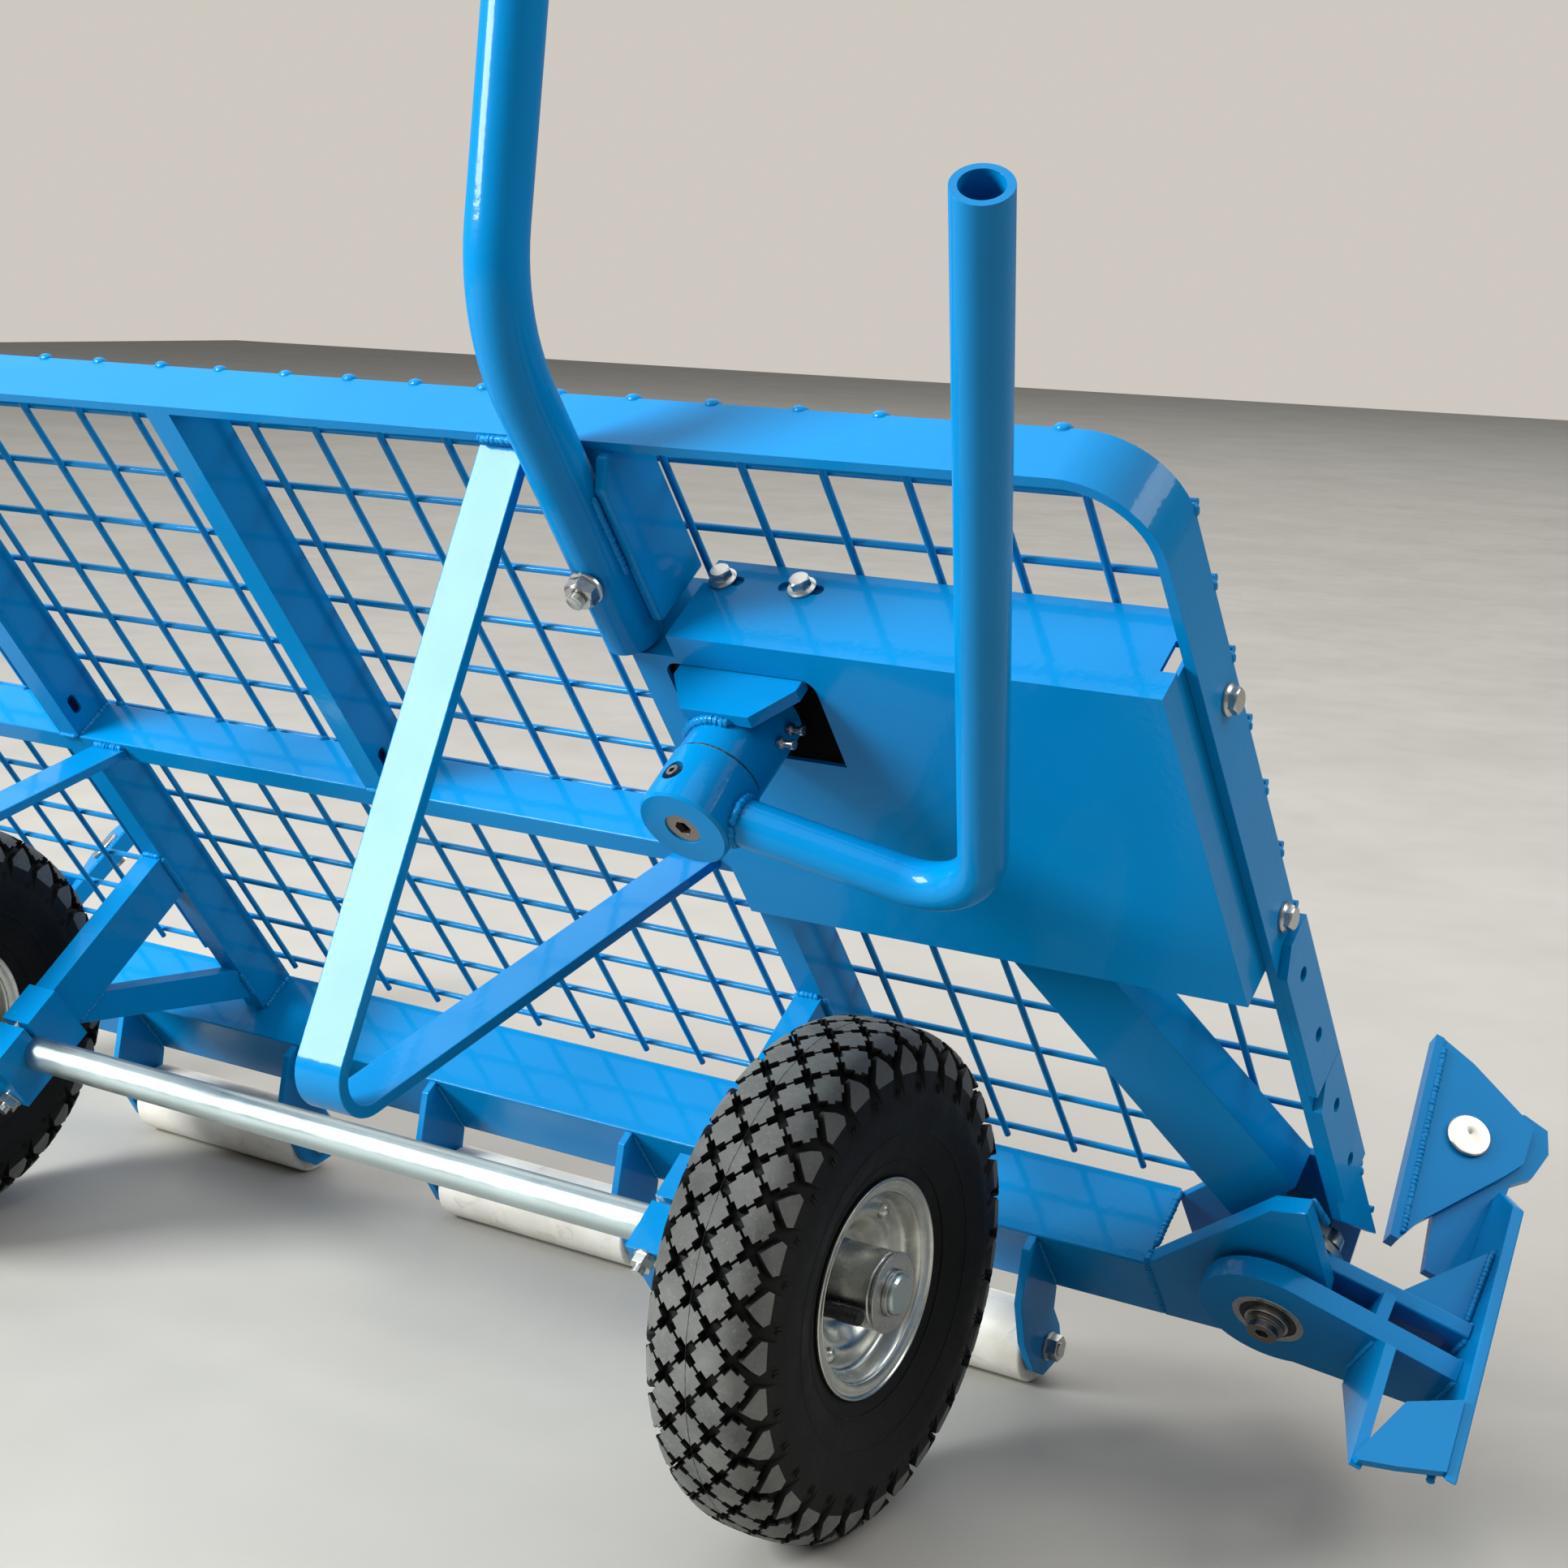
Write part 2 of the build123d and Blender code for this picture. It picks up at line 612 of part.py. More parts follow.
# ---- claws ----
bore_r, race_r, ball_r = 10.0, 23.5, 14.2
with BuildPart() as claw_axles:
    for sx in (1, -1):
        with BuildSketch(deck(-bar_d + 6.3, sx * pivot_x, pivot_u)):
            Circle(14)
        extrude(amount=4)
        with BuildSketch(deck(-bar_d + 0.5, sx * pivot_x, pivot_u)):
            Circle(bore_r - 0.02)
        extrude(amount=87)
        with BuildSketch(deck(50.2, sx * pivot_x, pivot_u)):
            Circle(12.5)
        extrude(amount=3)
        with BuildSketch(deck(53.2, sx * pivot_x, pivot_u)):
            Circle(10)
            RegularPolygon(4.6, 6, mode=Mode.SUBTRACT)
        extrude(amount=5)
save(claw_axles, "claw_axles")

with BuildPart() as bearing_inners:
    for sx in (1, -1):
        with BuildSketch(deck(26.05, sx * pivot_x, pivot_u)):
            Circle(ball_r)
            Circle(bore_r, mode=Mode.SUBTRACT)
        extrude(amount=24)
save(bearing_inners, "bearing_inners")

for name, sx in SIDES:
    with BuildPart() as claw_front_arm:
        with BuildSketch(deck(32)):
            Polygon(*claw_flat(sx, ((0, 46), (110.9, 46), (110.9, -6), (30, -34.9), (0, -46))), align=None)
            with Locations((sx * pivot_x, pivot_u)):
                Circle(46)
                Circle(race_r + 0.02, mode=Mode.SUBTRACT)
        extrude(amount=15)
    save(claw_front_arm, f"claw_front_arm_{name}")

    with BuildPart() as claw_rear_arm:
        with BuildSketch(deck(2)):
            Polygon(*claw_flat(sx, ((0, 32), (110.9, 40), (110.9, -22), (0, -32))), align=None)
            with Locations((sx * pivot_x, pivot_u)):
                Circle(34)
                Circle(bore_r + run, mode=Mode.SUBTRACT)
        extrude(amount=11)
    save(claw_rear_arm, f"claw_rear_arm_{name}")

    with BuildPart() as bearing_outer:
        with BuildSketch(deck(33, sx * pivot_x, pivot_u)):
            Circle(race_r)
            Circle(18.8, mode=Mode.SUBTRACT)
        extrude(amount=14)
        with BuildSketch(deck(34, sx * pivot_x, pivot_u)):
            Circle(18.9)
            Circle(ball_r + run, mode=Mode.SUBTRACT)
        extrude(amount=12)
    save(bearing_outer, f"bearing_outer_{name}")

    with BuildPart() as claw_plate:
        with BuildSketch(claw_face(sx, 111)):
            Polygon((-97, 26), (134, 97), (126, 84), (88, 18), (62, -18), (-70, -60), (-100, -48), (-100, -36.35),
                    (-134, -36.35), (-134, -25), align=None)
        extrude(amount=-sx * 8)
    save(claw_plate, f"claw_plate_{name}")

    with BuildPart() as claw_gussets:
        # spacer between the two arms
        with BuildSketch(claw_face(sx, 52)):
            Polygon((13.05, 44), (31.95, 44), (31.95, -8), (13.05, -8), align=None)
        extrude(amount=-sx * 8)
        # brace from the front arm to the foot
        with BuildSketch(claw_face(sx, 58)):
            Polygon((47.05, 45), (47.05, -6), (60, -4), (108, 48), (154, 96), (154, 99.5), (60, 71.7), align=None)
        extrude(amount=-sx * 7)
        # fin behind the rear arm
        with BuildSketch(claw_shelf(sx, 20)):
            Polygon((1.95, 62), (1.95, 110.9), (-62, 110.9), align=None)
        extrude(amount=sx * 7)
        # foot shelf
        with BuildSketch(foot_shelf(sx)):
            Polygon((78, 110.9), (136, 110.9), (150, 84), (160, 61), (157, 58), (102, 78), align=None)
        extrude(amount=sx * 5)
        # lug that carries the jaw pin
        with BuildSketch(claw_shelf(sx, -44)):
            Polygon((-186, 70), (-206, 112), (-203, 130), (-186, 136), (-163, 131), (-150, 118.9), (-100.1, 118.9),
                    (-100.1, 110.9), (-60, 110.9), (-60, 86), (-136, 72), align=None)
            with Locations((-164, 80)):
                Circle(7.0 + run, mode=Mode.SUBTRACT)
        extrude(amount=sx * 7.6)
    save(claw_gussets, f"claw_gussets_{name}")

    # ---- swivelling jaw pads ----
    with BuildPart() as jaw_pad:
        with BuildSketch(claw_shelf(sx, -36)):
            Polygon((-227, 41), (-220, 66), (-196, 119), (-166, 121), (-150, 112), (-86, 70), (-67, 62), align=None)
            with Locations((-164, 80)):
                Circle(7.0, mode=Mode.SUBTRACT)
        extrude(amount=sx * 6)
        with BuildSketch(claw_shelf(sx, -43)):
            Polygon((-227, 41.1), (-67, 62.1), (-67, 56), (-227, 35), align=None)
        extrude(amount=sx * 14)
    save(jaw_pad, f"jaw_pad_{name}")

    with BuildPart() as jaw_pin:
        with BuildSketch(claw_shelf(sx, -50)):
            with Locations((-164, 80)):
                Circle(7.0 - 0.005)
        extrude(amount=sx * 20.1)
        with BuildSketch(claw_shelf(sx, -29.9)):
            with Locations((-164, 80)):
                Circle(12)
        extrude(amount=sx * 3.5)
        with BuildSketch(claw_shelf(sx, -51)):
            with Locations((-164, 80)):
                Circle(9.5)
        extrude(amount=sx * 6.6)
    save(jaw_pin, f"jaw_pin_{name}")

# ---- floor rollers ----
with BuildPart() as roller_brackets:
    for xc in roller_x:
        for sx in (1, -1):
            with BuildSketch(side(xc + sx * (roller_len / 2 + 1.5))):
                Polygon((-652, chan_front + 0.05), (-652, 38), (-677, 66), (-707, 78), (-737, 80), (-752, 73),
                        (-760, 57), (-755, 44), (-741, 38), (-722, 37), (-711, chan_front + 0.05), align=None)
                with Locations((roller_u, roller_n)):
                    Circle(5.02, mode=Mode.SUBTRACT)
            extrude(amount=sx * 6)
save(roller_brackets, "roller_brackets")

with BuildPart() as roller_bolts:
    for xc in roller_x:
        reach = roller_len / 2 + 7.6
        with BuildSketch(side(xc - reach - 6, roller_u, roller_n)):
            Circle(5.0)
        extrude(amount=2 * reach + 16)
        for start, rad, length, hexagon in (
            (xc - reach - 1.6, 10, 1.6, False), (xc - reach - 7.6, 8.0, 6.0, True),
            (xc + reach, 10, 1.6, False), (xc + reach + 1.6, 8.0, 7.5, True),
        ):
            with BuildSketch(side(start, roller_u, roller_n)):
                if hexagon:
                    RegularPolygon(rad, 6, major_radius=False)
                else:
                    Circle(rad)
            extrude(amount=length)
save(roller_bolts, "roller_bolts")

for name, xc in zip(("left", "centre", "right"), roller_x):
    with BuildPart() as roller:
        with BuildSketch(side(xc - roller_len / 2, roller_u, roller_n)):
            Circle(roller_r)
            Circle(5.0 + run, mode=Mode.SUBTRACT)
        extrude(amount=roller_len)
        fillet(roller.edges().filter_by(lambda e: e.geom_type == GeomType.CIRCLE and e.radius > 20), 3)
        for sx in (1, -1):
            with BuildSketch(side(xc + sx * (roller_len / 2 + 0.01), roller_u, roller_n)):
                Circle(20)
                Circle(9, mode=Mode.SUBTRACT)
            extrude(amount=-sx * 4, mode=Mode.SUBTRACT)
    save(roller, f"roller_{name}")

# ---- wheels ----
for name, sx in SIDES:
    centre = at(sx * wheel_x, axle_u, axle_n)
    spin = Axis(centre, X)
    section = Plane(origin=centre, x_dir=X, z_dir=N)
    with BuildPart() as tyre:
        with BuildSketch(section):
            with BuildLine():
                Spline((0, wheel_r), (20, wheel_r - 1.5), (32, wheel_r - 8), (38, wheel_r - 24), (39.5, 112),
                       (36.5, 92), (31, 76), (27, 66), tangents=((1, 0), (-0.3, -1)))
                Polyline((27, 66), (27, 57), (13, 57), (13, 64))
                Spline((13, 64), (20, 72), (28.5, 92), (31.5, 112), (29.5, wheel_r - 24), (21, wheel_r - 13),
                       (0, wheel_r - 9))
                Line((0, wheel_r - 9), (0, wheel_r))
            make_face()
            mirror(about=Plane.YZ)
        revolve(axis=spin)
    save(tyre, f"tyre_{name}")

    with BuildPart() as rim:
        with BuildSketch(section):
            with BuildLine():
                Polyline((0, 42), (12.9, 42), (12.9, 56.9), (27.1, 56.9), (27.1, 65), (30, 66.5), (30, 54.4),
                         (15.4, 54.4), (15.4, 39.5), (9, 34), (2, 28), (2, hub_tube_r + 0.1), (0, hub_tube_r + 0.1), close=True)
            make_face()
            mirror(about=Plane.YZ)
        revolve(axis=spin)
    save(rim, f"rim_{name}")

    with BuildPart() as hub:
        with BuildSketch(section):
            with BuildLine():
                Polyline((0, hub_tube_r), (36.5, hub_tube_r), (38, hub_tube_r - 1.5), (38, axle_r + run), (0, axle_r + run),
                         close=True)
            make_face()
            mirror(about=Plane.YZ)
        revolve(axis=spin)
    save(hub, f"wheel_hub_{name}")

    with BuildPart() as valve:
        with BuildSketch(side(sx * (wheel_x + 13), axle_u + 13.6, axle_n + 28.6)):
            Circle(5.0)
        extrude(amount=sx * 25)
    save(valve, f"valve_{name}")

with BuildPart() as wheel_washers:
    for sx in (1, -1):
        for start, rad, length in (
            (wheel_x - 41, 17, 2.4), (wheel_x + 38.6, 24.5, 2.4), (wheel_x + 41.1, 14.5, 3.0)
        ):
            with BuildSketch(side(sx * start, axle_u, axle_n)):
                Circle(rad)
                Circle(axle_r, mode=Mode.SUBTRACT)
            extrude(amount=sx * length)
save(wheel_washers, "wheel_washers")
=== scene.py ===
"""Panel hand truck: materials, tyres, rims, fasteners, welds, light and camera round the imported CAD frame."""
import random
from math import cos, hypot, pi, radians, sin

import bpy
from mathutils import Matrix, Vector


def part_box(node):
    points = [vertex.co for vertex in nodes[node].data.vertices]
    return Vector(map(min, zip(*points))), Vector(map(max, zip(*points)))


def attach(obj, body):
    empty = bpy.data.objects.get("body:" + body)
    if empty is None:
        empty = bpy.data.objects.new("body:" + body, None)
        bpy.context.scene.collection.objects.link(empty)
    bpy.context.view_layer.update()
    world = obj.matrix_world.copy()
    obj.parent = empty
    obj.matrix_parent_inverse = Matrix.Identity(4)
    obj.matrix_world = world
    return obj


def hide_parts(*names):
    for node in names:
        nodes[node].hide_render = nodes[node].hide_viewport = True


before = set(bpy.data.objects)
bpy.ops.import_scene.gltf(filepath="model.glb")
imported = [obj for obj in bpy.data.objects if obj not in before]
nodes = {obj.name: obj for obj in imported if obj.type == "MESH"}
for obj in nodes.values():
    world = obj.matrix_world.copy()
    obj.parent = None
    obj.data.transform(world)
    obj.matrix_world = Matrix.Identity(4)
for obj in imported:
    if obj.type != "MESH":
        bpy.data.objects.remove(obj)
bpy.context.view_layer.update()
random.seed(11)

# ---- deck frame: x across, u up the deck, n out towards the operator; mm in, metres out ----
MM = 0.001
LEAN = radians(36.8699)
S, C = sin(LEAN), cos(LEAN)
AXLE_U, AXLE_N = -484.0, 182.0
lo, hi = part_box("axle")
axle_mid = (lo + hi) / 2
DECK_Y = axle_mid.y + (S * AXLE_U + C * AXLE_N) * MM
DECK_Z = axle_mid.z - (C * AXLE_U - S * AXLE_N) * MM
X_DIR = Vector((1, 0, 0))
U_DIR = Vector((0, -S, C))
N_DIR = Vector((0, -C, -S))
PIVOT_X, PIVOT_U, ARM = 606.0, -644.0, radians(-30)
LEVER_X, LEVER_U = 386.0, -167.0


def at(x, u, n):
    return Vector((x * MM, DECK_Y - (S * u + C * n) * MM, DECK_Z + (C * u - S * n) * MM))


def claw_at(sx, a, w, n):
    """Point on a claw: a out along the arm, w across it, n out of the deck."""
    x = sx * (PIVOT_X + a * cos(ARM) - w * sin(ARM))
    return at(x, PIVOT_U + a * sin(ARM) + w * cos(ARM), n)


# ---- materials ----
def nodes_of(name):
    m = bpy.data.materials.new(name)
    m.use_nodes = True
    tree = m.node_tree
    bsdf = tree.nodes["Principled BSDF"]
    coord = tree.nodes.new("ShaderNodeTexCoord")
    return m, tree, bsdf, coord.outputs["Object"]


def noise(tree, vector, scale, detail=3.0, rough=0.5, distort=0.0):
    t = tree.nodes.new("ShaderNodeTexNoise")
    t.inputs["Scale"].default_value = scale
    t.inputs["Detail"].default_value = detail
    t.inputs["Roughness"].default_value = rough
    t.inputs["Distortion"].default_value = distort
    tree.links.new(vector, t.inputs["Vector"])
    return t.outputs["Fac"]


def ramp(tree, fac, stops):
    r = tree.nodes.new("ShaderNodeValToRGB")
    while len(r.color_ramp.elements) < len(stops):
        r.color_ramp.elements.new(0.5)
    for e, (pos, colour) in zip(r.color_ramp.elements, stops):
        e.position = pos
        e.color = (*colour, 1)
    tree.links.new(fac, r.inputs["Fac"])
    return r.outputs["Color"]


def spread(tree, fac, low, high, start=0.3, end=0.7):
    m = tree.nodes.new("ShaderNodeMapRange")
    m.inputs["From Min"].default_value = start
    m.inputs["From Max"].default_value = end
    m.inputs["To Min"].default_value = low
    m.inputs["To Max"].default_value = high
    tree.links.new(fac, m.inputs["Value"])
    return m.outputs["Result"]


def mix(tree, fac, a, b):
    m = tree.nodes.new("ShaderNodeMix")
    m.data_type = "RGBA"
    if isinstance(fac, float):
        m.inputs[0].default_value = fac
    else:
        tree.links.new(fac, m.inputs[0])
    tree.links.new(a, m.inputs[6])
    if isinstance(b, tuple):
        m.inputs[7].default_value = (*b, 1)
    else:
        tree.links.new(b, m.inputs[7])
    return m.outputs[2]


def bumps(tree, bsdf, layers, coat=False):
    """layers: (height output, strength, distance in metres), one bump fed into the next."""
    normal = None
    for height, strength, distance in layers:
        b = tree.nodes.new("ShaderNodeBump")
        b.inputs["Strength"].default_value = strength
        b.inputs["Distance"].default_value = distance
        tree.links.new(height, b.inputs["Height"])
        if normal:
            tree.links.new(normal, b.inputs["Normal"])
        normal = b.outputs["Normal"]
    tree.links.new(normal, bsdf.inputs["Normal"])
    if coat:
        tree.links.new(normal, bsdf.inputs["Coat Normal"])


def scaled(colour, k):
    return tuple(c * k for c in colour)


def blue_paint(name):
    m, tree, bsdf, obj = nodes_of(name)
    base = (0.0, 0.172, 0.425)
    cloud = noise(tree, obj, 7.0, 2.0)
    tone = ramp(tree, cloud, ((0.30, scaled(base, 0.93)), (0.70, scaled(base, 1.05))))
    dust = spread(tree, noise(tree, obj, 46.0, 6.0, 0.7), 0.0, 0.05, 0.62, 0.80)
    tree.links.new(mix(tree, dust, tone, (0.04, 0.22, 0.40)), bsdf.inputs["Base Color"])
    tree.links.new(spread(tree, noise(tree, obj, 22.0, 4.0), 0.26, 0.38), bsdf.inputs["Roughness"])
    bsdf.inputs["Specular IOR Level"].default_value = 0.04
    bsdf.inputs["Coat Weight"].default_value = 0.22
    bsdf.inputs["Coat Roughness"].default_value = 0.05
    bsdf.inputs["Coat IOR"].default_value = 1.45
    peel, grain = noise(tree, obj, 230.0, 2.0), noise(tree, obj, 900.0, 2.0)
    bumps(tree, bsdf, ((peel, 0.14, 0.0006), (grain, 0.06, 0.0002)), True)
    return m


def metal(name, base, low, high, grain, marks=0.25, spangle=0.0):
    m, tree, bsdf, obj = nodes_of(name)
    cloud = noise(tree, obj, grain * 0.25, 4.0)
    tone = ramp(tree, cloud, ((0.25, scaled(base, 0.80)), (0.75, scaled(base, 1.10))))
    if spangle:
        v = tree.nodes.new("ShaderNodeTexVoronoi")
        v.inputs["Scale"].default_value = 240.0
        tree.links.new(obj, v.inputs["Vector"])
        grey = ramp(tree, v.outputs["Color"], ((0.2, scaled(base, 0.86)), (0.8, scaled(base, 1.12))))
        tone = mix(tree, spangle, tone, grey)
    tree.links.new(tone, bsdf.inputs["Base Color"])
    tree.links.new(spread(tree, noise(tree, obj, grain, 6.0, 0.6), low, high), bsdf.inputs["Roughness"])
    bsdf.inputs["Metallic"].default_value = 1.0
    bumps(tree, bsdf, ((noise(tree, obj, grain * 3, 4.0, 0.6), marks, 0.0003),))
    return m


def rubber(name, low, high, rough, dust, shine):
    m, tree, bsdf, obj = nodes_of(name)
    tone = ramp(tree, noise(tree, obj, 30.0, 6.0, 0.65), ((0.25, low), (0.75, high)))
    speck = spread(tree, noise(tree, obj, 420.0, 5.0, 0.7), 0.0, dust, 0.55, 0.78)
    tree.links.new(mix(tree, speck, tone, (0.30, 0.28, 0.25)), bsdf.inputs["Base Color"])
    patches = noise(tree, obj, 60.0, 4.0)
    tree.links.new(spread(tree, patches, rough - 0.08, rough + 0.1), bsdf.inputs["Roughness"])
    bsdf.inputs["Specular IOR Level"].default_value = shine
    grain, waves = noise(tree, obj, 500.0, 6.0, 0.7), noise(tree, obj, 70.0, 3.0)
    bumps(tree, bsdf, ((grain, 0.35, 0.0005), (waves, 0.10, 0.001)))
    return m


def nylon(name):
    m, tree, bsdf, obj = nodes_of(name)
    cloud = noise(tree, obj, 12.0, 5.0, 0.6)
    tone = ramp(tree, cloud, ((0.3, (0.58, 0.54, 0.47)), (0.7, (0.80, 0.78, 0.73))))
    scuff = spread(tree, noise(tree, obj, 34.0, 8.0, 0.75, 1.5), 0.0, 0.75, 0.56, 0.74)
    tree.links.new(mix(tree, scuff, tone, (0.34, 0.29, 0.22)), bsdf.inputs["Base Color"])
    tree.links.new(spread(tree, noise(tree, obj, 80.0, 4.0), 0.32, 0.55), bsdf.inputs["Roughness"])
    bsdf.inputs["Specular IOR Level"].default_value = 0.45
    bumps(tree, bsdf, ((noise(tree, obj, 160.0, 5.0, 0.65), 0.3, 0.0006),))
    return m


def grease(name):
    m, tree, bsdf, obj = nodes_of(name)
    tone = ramp(tree, noise(tree, obj, 160.0, 6.0, 0.7),
                ((0.35, (0.006, 0.010, 0.008)), (0.55, (0.02, 0.05, 0.04)), (0.8, (0.12, 0.13, 0.09))))
    tree.links.new(tone, bsdf.inputs["Base Color"])
    tree.links.new(spread(tree, noise(tree, obj, 200.0, 4.0), 0.2, 0.5), bsdf.inputs["Roughness"])
    bumps(tree, bsdf, ((noise(tree, obj, 320.0, 6.0, 0.7), 0.8, 0.0012),))
    return m


BLUE = blue_paint("blue_powder_coat")
ZINC = metal("bright_zinc", (0.50, 0.51, 0.49), 0.20, 0.36, 90.0, 0.15)
AXLE = metal("satin_zinc", (0.44, 0.52, 0.52), 0.26, 0.42, 40.0, 0.12)
RIM = metal("galvanised_rim", (0.60, 0.61, 0.56), 0.24, 0.36, 26.0, 0.05, 0.5)
STAINLESS = metal("brushed_stainless", (0.58, 0.56, 0.51), 0.28, 0.42, 120.0, 0.05)
DARK_STEEL = metal("burnished_steel", (0.24, 0.21, 0.19), 0.22, 0.45, 110.0, 0.2)
TYRE = rubber("tyre_rubber", (0.004, 0.004, 0.004), (0.009, 0.009, 0.009), 0.58, 0.04, 0.16)
TREAD = rubber("worn_tread", (0.065, 0.067, 0.064), (0.155, 0.157, 0.148), 0.66, 0.45, 0.3)
CAP = rubber("valve_rubber", (0.006, 0.006, 0.006), (0.014, 0.014, 0.014), 0.42, 0.05, 0.3)
# near-black material: painted shade for the inside of the cover box, seen through its window
SHADE = rubber("painted_shade_sheet", (0.0015, 0.0015, 0.0016), (0.003, 0.003, 0.003), 0.8, 0.01, 0.02)
NYLON = nylon("scuffed_nylon")
GREASE = grease("old_grease")

FINISH = {
    AXLE: ("axle", "drive_rod"),
    ZINC: ("clamp_bolts", "handle_bolts", "cover_bolts", "roller_bolts", "wheel_hub_left", "wheel_hub_right",
           "wheel_washers", "bearing_fittings", "lever_crank", "claw_crank", "bearing_outer_left",
           "bearing_outer_right"),
    STAINLESS: ("jaw_pin_left", "jaw_pin_right", "bearing_inners"),
    DARK_STEEL: ("lever_screws", "claw_axles", "lever_shaft"),
    RIM: ("rim_left", "rim_right"),
    TYRE: ("tyre_left", "tyre_right"),
    CAP: ("valve_left", "valve_right"),
    NYLON: ("roller_centre", "roller_left", "roller_right"),
}
# edge radius of each node that keeps its CAD shape, mm
SOFT_EDGE = {
    "cover_box": 1.2, "v_legs": 0.9, "perimeter_bar": 0.9, "mid_rail": 1.8, "uprights": 1.8,
    "lower_channel": 1.4, "side_plates": 1.2, "corner_cheeks": 1.5, "axle_struts": 1.8, "axle_clamps": 1.2,
    "bearing_housing": 1.2, "claw_front_arm": 1.5, "claw_rear_arm": 1.5, "claw_plate": 1.4,
    "claw_gussets": 1.1, "jaw_pad": 1.2, "roller_brackets": 0.8, "handle_brackets": 1.6, "lever_hub": 0.8,
    "lever_tube": 0.6, "wheel_hub": 0.5, "wheel_washers": 0.4, "clamp_bolts": 0.5, "roller_bolts": 0.5,
    "drive_case": 0.8, "claw_axles": 0.6, "lever_screws": 0.4, "handle_bow": 0.5, "bearing_outer": 0.5,
    "bearing_inners": 0.4, "jaw_pin": 0.5, "bearing_fittings": 0.3, "cover_bracket": 0.5,
    "bearing_stand": 0.5,
}


def soften(obj, width, segments=2):
    """Joins the split corners, rounds the sharp edges and keeps the flats flat."""
    obj.data.polygons.foreach_set("use_smooth", [True] * len(obj.data.polygons))
    for name in ("custom_normal", "sharp_edge"):
        if name in obj.data.attributes:
            obj.data.attributes.remove(obj.data.attributes[name])
    weld = obj.modifiers.new("join", "WELD")
    weld.merge_threshold = 0.00001
    flat = obj.modifiers.new("one_face_per_flat", "DECIMATE")
    flat.decimate_type = "DISSOLVE"
    flat.angle_limit = radians(0.6)
    bevel = obj.modifiers.new("edge", "BEVEL")
    bevel.width = width * MM
    bevel.segments = segments
    bevel.limit_method = "ANGLE"
    bevel.angle_limit = radians(35)
    bevel.use_clamp_overlap = True
    normals = obj.modifiers.new("flats", "WEIGHTED_NORMAL")
    normals.mode = "FACE_AREA"
    normals.weight = 100
    normals.keep_sharp = False


for name, obj in nodes.items():
    finish = next((m for m, names in FINISH.items() if name in names), BLUE)
    obj.data.materials.clear()
    obj.data.materials.append(finish)
    width = next((w for key, w in SOFT_EDGE.items() if name.startswith(key)), 0)
    if width:
        soften(obj, width)


# ---- mesh building ----
def piece(name, verts, faces, body, mats, face_mats=None, smooth=True, angle=40):
    mesh = bpy.data.meshes.new(name)
    mesh.from_pydata([tuple(v) for v in verts], [], faces)
    mesh.validate()
    for m in mats:
        mesh.materials.append(m)
    if face_mats:
        mesh.polygons.foreach_set("material_index", face_mats)
    if smooth:
        mesh.polygons.foreach_set("use_smooth", [True] * len(mesh.polygons))
        mesh.set_sharp_from_angle(angle=radians(angle))
    obj = bpy.data.objects.new(name, mesh)
    bpy.context.scene.collection.objects.link(obj)
    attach(obj, body)
    return obj


def basis(axis):
    """Two directions square to an axis."""
    a = axis.normalized()
    b = a.cross(Vector((0, 0, 1)) if abs(a.z) < 0.9 else Vector((0, 1, 0))).normalized()
    return b, a.cross(b)


